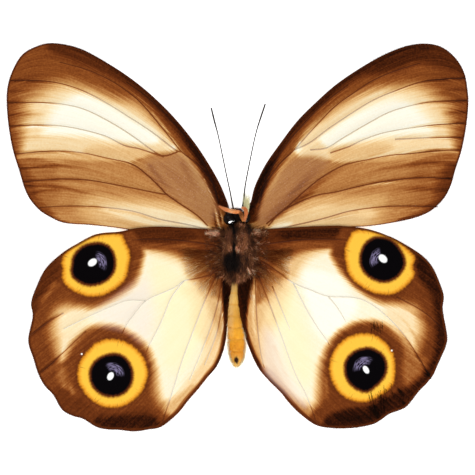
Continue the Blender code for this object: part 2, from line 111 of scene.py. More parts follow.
# Each wing. "corners" says which points of the outline are the front root, tip, rear corner and rear
# root. Outline, veins, rings and discs are x and y after each other, in tenths of a millimetre. A wash
# is a tone from 0 to 1 and then x, y and softness of each of its corners, and so are tint and glow,
# without the tone. A stroke is a change of tone, a width in millimetres and then x and y. A strand is
# left, right, low, high and how many hairs.
FOREWING_LEFT = {
    "corners": (0, 12, 21, 28),
    "outline": (-17, 60, -22, 75, -35, 106, -57, 145, -87, 190, -128, 240, -174, 285, -218, 320, -263, 349,
        -317, 377, -369, 387, -403, 380, -431, 363, -450, 331, -460, 297, -461, 261, -457, 218, -449, 174,
        -437, 135, -421, 86, -398, 55, -372, 38, -344, 27, -292, 23, -238, 17, -174, 6, -105, -3, -47, -9,
        -15, -7, -9, 29),
    "veins": {
        "subcosta": (-37, 67, -50, 109, -69, 149, -97, 191, -131, 231, -174, 274, -222, 309),
        "radius": (-37, 66, -50, 109, -80, 145, -111, 169, -141, 206, -187, 261, -217, 288, -255, 313,
            -299, 333, -355, 349),
        "first": (-111, 169, -125, 174, -171, 209, -217, 239, -262, 267, -308, 291, -353, 306, -399, 312,
            -454, 312),
        "second": (-119, 169, -147, 161, -171, 173, -217, 206, -262, 233, -308, 255, -353, 265, -399, 268,
            -458, 267),
        "third": (-147, 159, -195, 175, -226, 182, -262, 200, -308, 213, -353, 221, -399, 223, -456, 221),
        "media": (-59, 21, -80, 42, -111, 63, -141, 84, -156, 100, -192, 133, -217, 147, -262, 157, -308,
            167, -353, 171, -399, 169, -446, 165),
        "cubitus": (-141, 84, -156, 86, -201, 95, -247, 104, -292, 112, -338, 115, -384, 113, -427, 109),
        "anal": (-59, 15, -105, 25, -157, 35, -211, 51, -275, 59, -335, 61, -395, 58),
    },
    "ground": 0.635,
    "washes": [
        (0.87, -460, 170, 4, -400, 169, 3.5, -350, 169, 3.5, -300, 163, 4, -250, 153, 5, -215, 151, 5,
         -185, 163, 8, -155, 167, 8, -128, 172, 6, -114, 188, 6, -140, 240, 6, -250, 310, 6, -380, 330, 6,
         -470, 310, 6),
        (0.75, -445, 169, 3, -350, 169, 3, -280, 161, 4, -240, 150, 5, -280, 152, 5, -360, 153, 5, -440,
         152, 5),
        (0.79, -300, 176, 10, -260, 180, 12, -220, 180, 12, -186, 176, 10, -180, 165, 6, -210, 153, 4,
         -250, 154, 4, -300, 164, 4),
        (0.99, -384, 225, 20, -374, 250, 20, -354, 268, 18, -330, 282, 13, -310, 285, 10, -280, 276, 10,
         -240, 256, 10, -200, 232, 12, -168, 212, 12, -156, 196, 10, -166, 184, 8, -200, 186, 7, -250, 193,
         8, -300, 200, 9, -360, 203, 9, -390, 205, 12),
        (0.44, -470, 163, 5, -436, 168, 10, -433, 200, 22, -432, 230, 26, -428, 250, 30, -424, 273, 30,
         -398, 290, 30, -374, 303, 28, -340, 309, 24, -298, 298, 20, -250, 280, 19, -200, 265, 19, -156,
         223, 13, -126, 188, 9, -102, 160, 6, -80, 136, 5, -60, 102, 4, -46, 70, 4, -38, 50, 3, -10, 50, 3,
         -30, 130, 3, -150, 295, 3, -350, 420, 3, -490, 400, 3),
        (0.24, -380, 380, 6, -340, 360, 8, -300, 345, 8, -250, 320, 8, -200, 287, 7, -150, 238, 6, -100,
         177, 5, -78, 142, 4, -58, 95, 4, -42, 60, 3, -35, 45, 3, -10, 50, 3, -30, 130, 3, -150, 295, 3,
         -350, 415, 3),
        (0.13, -340, 386, 4, -315, 375, 4, -263, 347, 5, -218, 315, 6, -178, 281, 6, -135, 238, 7, -98,
         180, 7, -70, 135, 6, -51, 98, 5, -38, 67, 4, -25, 55, 3, -10, 60, 3, -30, 130, 3, -90, 215, 3,
         -150, 288, 3, -240, 358, 3, -320, 398, 3),
        (0.56, -364, 36, 10, -372, 60, 15, -356, 90, 15, -362, 120, 15, -365, 149, 5, -460, 152, 5, -430,
         50, 5),
        (0.42, -460, 150, 6, -427, 142, 9, -406, 110, 12, -402, 90, 12, -396, 74, 12, -380, 55, 9, -355,
         35, 5, -335, 25, 3, -360, 10, 3, -430, 40, 3),
        (0.77, -316, 62, 22, -302, 76, 16, -270, 82, 10, -220, 78, 10, -170, 74, 9, -130, 67, 7, -95, 50,
         5, -65, 26, 4, -50, 14, 4, -60, 0, 3, -200, 10, 3, -260, 15, 9, -290, 26, 22, -310, 45, 24),
        (0.89, -270, 62, 12, -220, 65, 10, -160, 57, 9, -110, 46, 7, -70, 26, 5, -56, 16, 4, -90, 12, 3,
         -160, 18, 6, -200, 26, 8, -260, 48, 9),
        (0.94, -115, 30, 6, -80, 30, 5, -60, 17, 4, -95, 19, 4),
        (0.5, -50, 54, 6, -38, 60, 5, -20, 50, 5, -20, 0, 5, -42, 6, 5, -49, 22, 6),
    ],
    "strokes": [
        (-0.16, 0.22, -460, 312, -420, 312, -380, 308, -354, 305),
        (-0.09, 0.3, -460, 291, -430, 291, -405, 290),
        (-0.15, 0.22, -460, 268, -420, 269, -380, 268, -350, 265),
        (-0.13, 0.3, -460, 242, -420, 244, -380, 245),
        (-0.17, 0.22, -460, 220, -420, 223, -380, 223, -340, 220),
        (-0.06, 0.35, -460, 197, -410, 198, -350, 198),
        (-0.17, 0.24, -450, 165, -410, 169, -360, 170, -320, 168),
        (-0.16, 0.3, -440, 135, -405, 139, -360, 142, -320, 139, -290, 134),
        (-0.1, 0.26, -430, 109, -384, 113, -338, 115, -292, 112, -220, 100),
        (-0.15, 0.34, -425, 100, -390, 103, -350, 98, -310, 89, -280, 84),
        (-0.1, 0.3, -418, 83, -393, 91, -360, 94, -330, 88),
        (-0.08, 0.3, -380, 56, -330, 59, -280, 58, -240, 53),
        (-0.07, 0.28, -255, 53, -210, 46, -170, 34, -145, 25),
        (-0.1, 0.3, -210, 143, -170, 117, -145, 88, -110, 64, -70, 33),
        (-0.13, 0.5, -174, 140, -150, 110, -125, 86),
        (-0.06, 0.4, -152, 143, -120, 120, -90, 90, -76, 64),
        (-0.1, 0.6, -110, 146, -96, 120, -74, 90),
        (-0.05, 0.4, -140, 126, -110, 100, -90, 76),
        (0.16, 0.16, -170, 248, -144, 216, -114, 174, -86, 137),
        (0.3, 0.15, -66, 114, -55, 90, -45, 70, -36, 54),
        (0.1, 0.5, -128, 178, -102, 156, -76, 118, -56, 80),
        (0.3, 0.16, -34, 16, -39, 32, -43, 50, -46, 64),
        (0.22, 0.14, -29, 26, -31, 40, -36, 54),
        (-0.3, 0.2, -33, 30, -36, 46, -41, 60),
        (-0.25, 0.15, -42, 20, -45, 36, -48, 54),
    ],
    "tint": (-147, 157, 12, -119, 167, 8, -102, 157, 6, -81, 132, 6, -59, 99, 6, -45, 68, 6, -40, 49, 8,
        -59, 25, 8, -81, 45, 8, -111, 67, 10, -141, 90, 12, -174, 122, 16, -184, 141, 16, -170, 157, 14),
}
FOREWING_RIGHT = {
    "corners": (0, 13, 22, 30),
    "outline": (19, 61, 27, 69, 35, 100, 56, 143, 85, 185, 120, 231, 157, 268, 195, 302, 241, 334, 288,
        361, 334, 380, 373, 386, 407, 380, 435, 359, 454, 328, 461, 291, 462, 261, 458, 221, 449, 174, 436,
        133, 427, 102, 413, 76, 388, 52, 357, 38, 318, 29, 273, 22, 216, 17, 166, 7, 106, -2, 54, -9, 18,
        -7, 12, 29),
    "veins": {
        "subcosta": (40, 67, 54, 105, 74, 147, 102, 189, 136, 229, 176, 269, 222, 303),
        "radius": (44, 67, 56, 101, 83, 143, 114, 173, 148, 211, 192, 257, 224, 281, 266, 309, 310, 329,
            366, 347),
        "first": (114, 173, 146, 188, 182, 215, 227, 245, 273, 273, 318, 292, 364, 308, 410, 315, 456,
            317),
        "second": (146, 173, 179, 177, 212, 197, 258, 224, 303, 248, 349, 262, 394, 270, 459, 272),
        "third": (186, 167, 224, 180, 249, 192, 288, 206, 334, 215, 394, 223, 455, 227),
        "fourth": (316, 194, 334, 195, 394, 198, 447, 198),
        "media": (58, 25, 102, 61, 136, 92, 169, 118, 212, 142, 258, 153, 303, 162, 349, 166, 394, 171,
            444, 173),
        "cubitus": (62, 21, 91, 51, 151, 80, 197, 89, 242, 100, 288, 109, 334, 115, 379, 118, 429, 115),
        "anal": (66, 13, 126, 25, 176, 37, 226, 51, 286, 59, 336, 61, 402, 59),
    },
    "ground": 0.62,
    "washes": [
        (0.87, 470, 174, 4, 400, 174, 3.5, 350, 169, 3.5, 300, 160, 4, 260, 152, 5, 220, 150, 6, 190, 152,
         7, 150, 158, 8, 123, 160, 7, 115, 178, 5, 125, 195, 5, 140, 220, 5, 200, 280, 5, 280, 320, 5, 360,
         330, 5, 480, 320, 5),
        (0.72, 445, 171, 3, 360, 167, 3, 280, 157, 4, 240, 151, 4, 280, 149, 4, 340, 152, 5, 400, 156, 5,
         440, 158, 5),
        (0.79, 186, 168, 9, 200, 180, 12, 240, 180, 12, 280, 184, 12, 310, 180, 10, 280, 162, 5, 220, 152,
         4, 190, 154, 5),
        (0.985, 165, 195, 8, 180, 179, 7, 210, 184, 8, 250, 192, 9, 300, 200, 10, 350, 204, 10, 386, 206,
         14, 392, 220, 18, 378, 244, 20, 356, 263, 18, 328, 276, 15, 300, 274, 13, 266, 262, 11, 230, 243,
         9, 190, 215, 9),
        (0.43, 480, 170, 4, 439, 172, 11, 436, 190, 18, 432, 210, 22, 428, 235, 26, 424, 260, 30, 406, 276,
         30, 382, 295, 27, 356, 303, 23, 326, 303, 20, 288, 299, 17, 250, 288, 16, 210, 268, 16, 170, 238,
         14, 140, 214, 11, 116, 182, 8, 106, 162, 6, 84, 136, 5, 66, 106, 5, 54, 78, 4, 46, 50, 4, 40, 30,
         4, 15, 40, 3, 30, 140, 3, 150, 295, 3, 360, 420, 3, 490, 400, 3),
        (0.24, 480, 310, 6, 440, 327, 10, 405, 337, 12, 360, 347, 10, 320, 334, 10, 280, 325, 8, 250, 320,
         8, 210, 295, 8, 170, 261, 7, 130, 219, 7, 95, 178, 6, 72, 135, 5, 54, 90, 4, 42, 50, 3, 36, 30, 3,
         15, 40, 3, 30, 140, 3, 150, 295, 3, 360, 420, 3, 490, 400, 3),
        (0.15, 400, 384, 5, 360, 370, 8, 320, 355, 9, 290, 341, 8, 260, 334, 6, 220, 310, 6, 175, 273, 5,
         135, 236, 5, 100, 193, 5, 78, 153, 5, 60, 110, 5, 47, 73, 4, 34, 45, 3, 15, 50, 3, 30, 140, 3,
         150, 295, 3, 300, 385, 3, 380, 405, 3),
        (0.03, 68, 150, 5, 54, 110, 4, 43, 80, 4, 30, 55, 3, 16, 55, 3, 20, 80, 3, 40, 126, 4),
        (0.54, 356, 154, 7, 352, 110, 24, 352, 70, 24, 336, 38, 16, 400, 20, 5, 470, 156, 5),
        (0.31, 470, 149, 5, 419, 140, 12, 404, 110, 18, 400, 90, 18, 393, 70, 14, 370, 53, 7, 340, 40, 4,
         320, 29, 3, 380, 20, 3, 440, 60, 3),
        (0.75, 296, 78, 20, 270, 83, 13, 230, 82, 10, 180, 80, 7, 150, 74, 6, 120, 60, 5, 90, 44, 5, 65,
         25, 4, 55, 12, 4, 100, 0, 3, 240, 0, 3, 276, 15, 12, 290, 30, 22, 296, 55, 24),
        (0.83, 260, 62, 11, 220, 63, 10, 170, 64, 7, 135, 54, 6, 100, 42, 5, 70, 22, 4, 65, 14, 3, 140, 18,
         4, 220, 22, 6, 255, 28, 9, 275, 45, 10),
        (0.93, 110, 29, 5, 80, 26, 4, 68, 17, 3, 95, 17, 4),
    ],
    "strokes": [
        (-0.2, 0.24, 464, 317, 420, 315, 380, 311, 360, 307),
        (-0.11, 0.3, 464, 294, 435, 294, 400, 290),
        (-0.2, 0.24, 464, 272, 420, 270, 380, 268, 350, 263),
        (-0.16, 0.32, 464, 249, 430, 248, 405, 246),
        (-0.2, 0.24, 460, 228, 420, 225, 380, 222, 340, 216),
        (-0.18, 0.28, 454, 198, 420, 198, 380, 198),
        (-0.2, 0.26, 450, 172, 410, 173, 370, 170, 320, 165),
        (-0.14, 0.4, 440, 142, 400, 147, 360, 145, 310, 137, 270, 131),
        (-0.03, 0.5, 440, 159, 400, 159, 360, 158, 330, 154, 310, 152),
        (-0.14, 0.28, 434, 115, 380, 118, 320, 113, 260, 104, 180, 87),
        (-0.12, 0.5, 428, 93, 385, 95, 340, 96, 300, 93),
        (-0.08, 0.3, 405, 59, 340, 61, 286, 59, 230, 51),
        (-0.07, 0.28, 240, 50, 205, 41, 165, 30),
        (-0.12, 0.9, 64, 36, 95, 70, 125, 100, 155, 132, 174, 150),
        (-0.12, 0.8, 85, 46, 120, 74, 150, 96, 182, 122, 220, 146),
        (-0.12, 0.4, 116, 69, 136, 81, 160, 96),
        (-0.08, 0.4, 106, 84, 124, 100, 144, 118),
        (0.14, 0.2, 256, 102, 286, 106, 318, 109),
        (0.1, 0.5, 124, 176, 102, 154, 76, 114, 58, 76),
        (0.18, 0.14, 126, 190, 116, 174, 100, 154),
        (0.2, 0.14, 46, 78, 40, 60, 37, 44),
    ],
    "tint": (46, 55, 8, 60, 87, 8, 86, 128, 8, 114, 154, 8, 140, 165, 10, 174, 160, 14, 182, 144, 14, 154,
        113, 14, 120, 82, 12, 92, 54, 8, 58, 26, 6, 42, 26, 6),
}
HINDWING_LEFT = {
    "corners": (0, 9, 26, 35),
    "outline": (-11, 1, -56, 14, -111, 18, -156, 20, -201, 17, -235, 10, -281, 5, -321, -15, -351, -34,
        -382, -63, -400, -97, -412, -132, -409, -160, -418, -208, -408, -243, -398, -275, -385, -299, -368,
        -317, -351, -346, -329, -359, -308, -365, -282, -381, -259, -386, -235, -387, -207, -390, -177,
        -386, -151, -380, -119, -354, -98, -328, -78, -305, -59, -281, -39, -256, -24, -214, -18, -163,
        -11, -127, -9, -93, -9, -51),
    "veins": {
        "costal": (-39, -19, -75, -13, -122, -7, -171, -5, -211, -7),
        "media": (-37, -65, -56, -77, -82, -84, -107, -89, -125, -102, -171, -122, -183, -128, -217, -128,
            -244, -137, -281, -153, -315, -169, -347, -185),
        "upper": (-347, -153, -375, -169, -405, -190, -415, -199),
        "branch": (-183, -128, -202, -151, -220, -175, -231, -195),
        "lower": (-302, -189, -329, -214, -351, -235, -371, -254, -391, -271),
        "cubitus": (-107, -89, -132, -123, -152, -171, -174, -214, -182, -231),
        "post": (-42, -75, -65, -129, -88, -189, -111, -251, -132, -319, -145, -357, -149, -371),
        "anal": (-31, -85, -39, -133, -55, -187, -75, -239, -95, -287),
        "inner": (-27, -89, -30, -127, -37, -177, -49, -217, -65, -257),
    },
    "ground": 0.95,
    "washes": [
        (0.86, -110, -100, 16, -92, -130, 16, -88, -190, 14, -65, -220, 10, -80, -260, 10, -110, -300, 10,
         -132, -334, 8, -135, -360, 5, -40, -270, 5, -15, -200, 5, -15, -100, 5),
        (0.79, -98, -85, 8, -80, -105, 9, -62, -135, 9, -50, -165, 10, -38, -188, 6, -35, -220, 5, -48,
         -257, 5, -84, -298, 5, -122, -346, 4, -105, -340, 3, -20, -220, 3, -15, -100, 3),
        (0.77, -158, -336, 10, -134, -326, 9, -108, -310, 7, -87, -296, 4, -80, -316, 3, -120, -364, 3,
         -150, -385, 3),
        (0.56, -105, -50, 8, -98, -78, 8, -75, -92, 10, -60, -105, 11, -48, -117, 9, -34, -125, 6, -15,
         -120, 5, -10, -40, 5, -100, -40, 6),
        (0.8, -205, -22, 4, -170, -34, 12, -140, -44, 14, -115, -54, 14, -95, -80, 12, -80, -30, 5, -200,
         -15, 3),
        (0.44, -235, -18, 6, -195, -23, 5, -170, -26, 6, -140, -31, 9, -120, -37, 11, -103, -47, 12, -90,
         -63, 12, -75, -74, 12, -58, -88, 12, -43, -99, 10, -29, -102, 5, -15, -100, 4, 0, -50, 4, 0, 25,
         3, -100, 30, 3, -250, 25, 3),
        (0.24, -235, 20, 3, -220, -14, 5, -180, -13, 5, -130, -16, 5, -100, -10, 6, -80, -5, 6, -82, 6, 5,
         -110, 24, 3, -180, 30, 3),
        (0.28, -84, -24, 18, -60, -24, 8, -30, -26, 5, -10, -20, 3, -10, 10, 3, -60, 20, 3, -88, 24, 18),
        (0.33, -100, -30, 4, -60, -26, 5, -30, -24, 5, -10, -30, 4, -10, -74, 5, -42, -82, 9, -55, -70, 9,
         -60, -60, 8, -80, -46, 6, -100, -38, 5),
        (0.9, -295, -154, 14, -330, -144, 14, -359, -156, 12, -363, -200, 12, -356, -236, 10, -335, -210,
         12, -312, -189, 12),
        (0.4, -189, -26, 8, -190, -50, 10, -197, -75, 11, -209, -97, 12, -235, -116, 12, -263, -132, 12,
         -290, -142, 12, -315, -140, 15, -343, -138, 19, -363, -149, 21, -369, -178, 23, -367, -203, 23,
         -363, -226, 21, -356, -243, 17, -348, -246, 14, -339, -231, 13, -330, -214, 13, -314, -197, 12,
         -296, -183, 11, -270, -177, 11, -242, -180, 11, -215, -192, 11, -193, -208, 12, -180, -224, 13,
         -171, -244, 14, -166, -266, 16, -164, -290, 19, -162, -310, 20, -156, -332, 18, -146, -350, 10,
         -130, -364, 5, -140, -410, 3, -450, -410, 3, -460, -50, 3, -300, 40, 3, -225, 30, 3),
        (0.27, -372, -34, 5, -356, -60, 6, -354, -86, 6, -376, -100, 9, -394, -120, 9, -399, -146, 8, -420,
         -150, 4, -410, -60, 4),
        (0.32, -366, -313, 6, -345, -306, 9, -330, -310, 9, -310, -325, 7, -280, -346, 6, -240, -352, 6,
         -205, -342, 7, -186, -338, 10, -166, -354, 8, -146, -370, 5, -160, -410, 3, -380, -410, 3),
        (0.13, -285, -366, 8, -250, -359, 8, -210, -357, 9, -180, -356, 9, -158, -368, 6, -164, -380, 4,
         -220, -384, 4, -270, -382, 5),
        (0.55, -360, -266, 9, -348, -258, 9, -340, -280, 9, -344, -300, 9, -358, -290, 9),
        # Dark band along the inner edge beside the hind body: partly the wing's brown inner margin, partly
        # painted shade between the wing and the hind body
        (0.04, -29, -86, 3, -28, -140, 3, -26.5, -175, 2.5, -27.5, -200, 2.5, -33.5, -230, 2.5, -45, -259,
         2.5, -58, -278, 2, -40, -277, 2, -10, -200, 2, -8, -88, 3),
    ],
    "strokes": [
        (-0.12, 0.25, -410, -196, -382, -172, -354, -156, -330, -149),
        (-0.16, 0.28, -398, -274, -372, -254, -350, -234, -326, -212),
        (-0.12, 0.4, -410, -126, -385, -110, -360, -102),
        (0.12, 0.5, -364, -92, -380, -118, -404, -146),
        (0.1, 0.45, -346, -300, -330, -309, -316, -322),
        (0.05, 0.3, -60, -15, -90, -19, -130, -17, -180, -13),
        (0.1, 0.25, -36, -4, -70, -9, -110, -4),
        (-0.07, 0.35, -40, -29, -70, -29, -110, -27, -140, -22),
        (0.12, 0.35, -26, -46, -46, -44, -68, -56),
        (0.1, 0.3, -58, -60, -76, -70, -96, -80),
        (0.12, 0.5, -334, -296, -326, -330),
        (-0.04, 0.3, -39, -145, -52, -187, -70, -235, -86, -270),
        (-0.05, 0.4, -34, -160, -39, -200, -54, -240),
    ],
    "tint": (-204, -100, 18, -184, -86, 18, -172, -107, 18, -171, -177, 20, -186, -205, 18, -219, -182, 18,
        -275, -168, 18, -282, -154, 16, -240, -124, 14),
    "glow": (-170, -46, 18, -120, -60, 20, -82, -107, 20, -60, -160, 20, -80, -230, 24, -120, -270, 26,
        -150, -250, 26, -154, -170, 24, -168, -97, 22),
    "spots": [
        {
            "ring": (-232, 4, -223, -12, -216, -28, -214, -42, -217, -58, -219, -72, -225, -86, -236, -98,
                -252, -109, -270, -117, -293, -120, -315, -114, -333, -105, -346, -92, -350, -80, -348,
                -65, -351, -55, -347, -39, -338, -28, -320, -13, -300, -2, -280, 3, -255, 7),
            "disc": (-329, -54, -325, -39, -314, -25, -300, -17, -280, -14, -262, -18, -250, -30, -245,
                -46, -245, -60, -250, -74, -262, -87, -280, -95, -300, -96, -318, -88, -330, -75),
            "middle": (-28.65, -5.5),
            "pupil": (-28.93, -5.18, 0.98, 0.68, 35),
            "blue": (24, 1.85, 52),
        },
        {
            "ring": (-250, -205, -225, -210, -205, -222, -189, -240, -181, -260, -179, -275, -184, -295,
                -196, -316, -215, -332, -235, -340, -255, -342, -275, -337, -295, -324, -310, -306, -318,
                -288, -319, -270, -315, -253, -309, -242, -301, -231, -288, -217, -270, -208),
            "disc": (-250, -236, -230, -240, -216, -255, -210, -275, -214, -296, -228, -313, -250, -319,
                -272, -314, -289, -297, -294, -275, -287, -255, -272, -242),
            "middle": (-25.13, -27.78),
            "pupil": (-25.35, -27.94, 0.86, 0.6, 62),
            "blue": (58, 1.75, 62),
        },
    ],
    "dots": [(-31.1, -23.5)],
    "strands": [],
}
HINDWING_RIGHT = {
    "corners": (0, 9, 28, 37),
    "outline": (16, 1, 54, 14, 106, 18, 167, 21, 212, 21, 261, 15, 303, 1, 341, -19, 373, -41, 392, -64,
        406, -96, 413, -120, 411, -147, 420, -199, 417, -220, 409, -239, 400, -259, 392, -277, 377, -296,
        364, -309, 340, -339, 321, -349, 304, -355, 286, -368, 270, -376, 241, -382, 212, -384, 186, -383,
        157, -377, 126, -355, 103, -332, 87, -312, 64, -289, 43, -264, 26, -229, 9, -181, -1, -129, -3,
        -93, 10, -51),
    "veins": {
        "costal": (38, -19, 74, -13, 122, -7, 169, -5, 210, -7),
        "media": (39, -44, 76, -67, 112, -93, 146, -107, 182, -120, 230, -122, 261, -132, 291, -153, 328,
            -190, 355, -229, 379, -269, 388, -285),
        "upper": (318, -121, 346, -135, 376, -153, 398, -173, 416, -191),
        "branch": (182, -120, 202, -145, 218, -172),
        "cubitus": (112, -93, 136, -141, 158, -178, 179, -208, 184, -217),
        "post": (42, -79, 60, -123, 72, -155, 85, -190, 115, -272, 136, -313, 151, -351, 158, -371),
        "anal": (36, -87, 39, -159, 45, -220, 54, -263),
        "inner": (70, -99, 86, -139, 106, -187),
    },
    "ground": 0.95,
    "washes": [
        (1, 135, -70, 12, 195, -75, 12, 225, -110, 12, 240, -140, 12, 210, -180, 12, 170, -200, 12, 140,
         -140, 12),
        (0.84, 110, -95, 14, 100, -130, 15, 92, -160, 15, 74, -185, 14, 73, -230, 10, 92, -280, 9, 120,
         -320, 9, 148, -332, 7, 154, -360, 5, 90, -310, 3, 40, -265, 3, 30, -120, 3, 50, -95, 5),
        (0.79, 105, -80, 7, 90, -103, 8, 73, -122, 9, 58, -143, 9, 50, -170, 7, 43, -190, 4, 34, -140, 3,
         34, -90, 3),
        (0.64, 50, -260, 5, 68, -270, 8, 97, -302, 9, 126, -330, 9, 148, -346, 7, 150, -380, 3, 90, -335,
         3, 40, -280, 3),
        (0.55, 115, -50, 7, 106, -74, 8, 80, -90, 9, 68, -105, 10, 53, -125, 9, 42, -135, 5, 34, -120, 3,
         35, -55, 5),
        (0.8, 205, -21, 4, 170, -32, 11, 144, -44, 14, 128, -60, 13, 110, -84, 11, 90, -30, 5, 200, -14,
         3),
        (0.44, 230, -19, 5, 195, -22, 4, 160, -26, 6, 126, -33, 10, 102, -46, 11, 90, -60, 11, 76, -71, 11,
         62, -84, 11, 50, -98, 10, 37, -104, 4, 25, -90, 4, 0, -50, 3, 0, 20, 3, 100, 30, 3, 240, 30, 3),
        (0.16, 232, 22, 3, 224, 2, 6, 208, -6, 9, 170, -7, 10, 120, -9, 10, 90, -12, 14, 70, -5, 18, 64,
         10, 18, 80, 30, 3, 200, 40, 3),
        (0.26, 80, -24, 18, 60, -26, 8, 30, -26, 5, 10, -20, 3, 10, 10, 3, 60, 20, 3, 80, 24, 18),
        (0.31, 20, -25, 6, 60, -29, 6, 100, -29, 7, 84, -46, 9, 68, -62, 9, 50, -80, 9, 37, -90, 5, 16,
         -76, 5),
        (0.74, 35, -84, 3, 37, -130, 4, 39, -170, 4, 43, -210, 4, 49, -250, 3, 56, -274, 3, 40, -280, 3,
         -5, -180, 3, -10, -84, 3),
        # Dark band along the inner edge beside the hind body: partly the wing's brown inner margin, partly
        # painted shade between the wing and the hind body
        (0.07, 30, -80, 4, 25, -120, 5, 19, -160, 4, 23, -200, 3.5, 33, -230, 3, 49, -264, 2.5, 36, -280,
         3, -5, -180, 3, -10, -80, 3),
        (0.88, 295, -150, 14, 330, -140, 14, 365, -150, 12, 368, -200, 12, 356, -230, 10, 336, -205, 12,
         315, -185, 12),
        (0.37, 189, -26, 8, 195, -50, 10, 208, -71, 10, 225, -89, 10, 243, -105, 9, 265, -120, 9, 291,
         -132, 11, 312, -134, 14, 336, -135, 17, 358, -143, 20, 370, -175, 21, 369, -200, 21, 362, -224,
         19, 353, -235, 16, 344, -224, 14, 330, -206, 12, 314, -191, 12, 300, -179, 11, 284, -172, 10, 268,
         -169, 10, 244, -172, 11, 218, -182, 11, 195, -200, 11, 180, -223, 12, 171, -245, 15, 166, -270,
         18, 165, -300, 20, 163, -325, 19, 153, -345, 10, 146, -358, 5, 142, -374, 3, 160, -420, 3, 470,
         -420, 3, 470, -20, 3, 300, 40, 3, 228, 40, 3),
        (0.13, 336, -14, 3, 354, -36, 4, 359, -75, 6, 368, -93, 8, 380, -107, 9, 390, -125, 9, 393, -150,
         9, 397, -170, 9, 396, -210, 9, 391, -240, 9, 380, -258, 9, 370, -275, 8, 355, -290, 8, 335, -302,
         7, 323, -305, 6, 312, -315, 5, 285, -330, 5, 270, -338, 5, 230, -342, 6, 200, -350, 8, 176, -366,
         6, 180, -420, 3, 470, -420, 3, 470, -20, 3),
        (0.06, 200, -356, 10, 256, -354, 10, 276, -334, 10, 296, -320, 10, 300, -343, 10, 270, -365, 8,
         210, -372, 6),
        (0.54, 334, -220, 9, 356, -236, 12, 376, -246, 12, 374, -266, 12, 358, -284, 12, 338, -298, 10,
         331, -270, 7, 332, -240, 7),
    ],
    "strokes": [
        (-0.2, 0.25, 390, -286, 376, -266, 354, -230, 330, -196, 310, -174),
        (-0.08, 0.25, 364, -216, 346, -184, 320, -156),
        (-0.1, 0.25, 366, -164, 344, -149, 320, -138),
        (-0.1, 0.3, 283, -366, 274, -340, 267, -316),
        (-0.1, 0.3, 334, -334, 324, -306, 312, -280),
        (0.1, 0.4, 178, -286, 180, -310, 182, -336),
        (0.04, 0.3, 54, -12, 100, -16, 150, -10, 196, -12),
        (-0.06, 0.35, 64, -28, 100, -29, 134, -25),
        (0.08, 0.3, 28, -40, 46, -42, 66, -56, 96, -74, 116, -88),
        (0.1, 0.3, 36, -60, 54, -76, 68, -96),
        (-0.04, 0.3, 56, -120, 70, -156, 86, -194),
        (-0.05, 0.4, 74, -220, 94, -270, 116, -310),
        (0.1, 0.35, 34, -120, 32, -160, 37, -200, 45, -240),
    ],
    "tint": (54, -187, 16, 80, -197, 18, 94, -250, 16, 124, -300, 16, 136, -340, 10, 86, -299, 8, 54, -260,
        8),
    "glow": (110, -100, 18, 86, -120, 18, 60, -160, 18, 90, -210, 20, 106, -260, 20, 134, -300, 18, 154,
        -270, 20, 146, -210, 24, 128, -150, 24),
    "spots": [
        {
            "ring": (232, 10, 222, -5, 216, -23, 215, -40, 219, -60, 224, -76, 235, -90, 252, -102, 272,
                -112, 295, -116, 315, -113, 333, -102, 349, -86, 354, -73, 351, -60, 355, -43, 346, -31,
                334, -19, 315, -5, 290, 6, 265, 12, 245, 14),
            "disc": (282, -2, 305, -7, 320, -20, 331, -38, 334, -55, 326, -72, 313, -84, 293, -90, 272,
                -84, 256, -72, 247, -55, 248, -35, 256, -16, 268, -6),
            "middle": (29.1, -4.8),
            "pupil": (29.1, -4.42, 0.98, 0.7, -42),
            "blue": (158, 1.85, 50),
        },
        {
            "ring": (250, -194, 230, -198, 213, -206, 198, -222, 188, -242, 184, -263, 189, -286, 198,
                -304, 212, -319, 232, -328, 255, -331, 270, -326, 287, -317, 303, -306, 312, -293, 316,
                -275, 315, -254, 313, -238, 305, -223, 292, -208, 272, -196),
            "disc": (258, -224, 278, -229, 293, -242, 298, -262, 292, -282, 276, -299, 258, -310, 236,
                -302, 221, -286, 216, -266, 220, -246, 235, -231),
            "middle": (25.75, -26.66),
            "pupil": (25.75, -26.64, 0.86, 0.52, -58),
            "blue": (122, 1.85, 64),
        },
    ],
    "dots": [(30.9, -22.8)],
    "strands": [(26.2, 29.4, -35, -30.8, 60), (28.6, 31, -33, -29.4, 22), (26.6, 29.2, -18.8, -16.9, 36)],
}

# Tones of the wings' scales, from 0, near black, to 1, cream white
TONES = (
    ("soot", 0.0), ("umber", 0.12), ("bark", 0.25), ("rust", 0.38), ("amber", 0.5),
    ("tan", 0.62), ("gold", 0.74), ("straw", 0.84), ("cream", 0.92), ("white", 1.0),
)

# Tones of the fur, and of the abdomen from its front to its end
FUR_TONES = (
    ("pitch", 0.0), ("sable", 0.2), ("brown", 0.4), ("hazel", 0.55), ("fawn", 0.7),
    ("pink", 0.84), ("glint", 1.0),
)
ABDOMEN_TONES = (
    ("olive", 0.02), ("sand", 0.2), ("honey", 0.42), ("marigold", 0.62), ("orange_rim", 0.82),
    ("sand", 1.0),
)
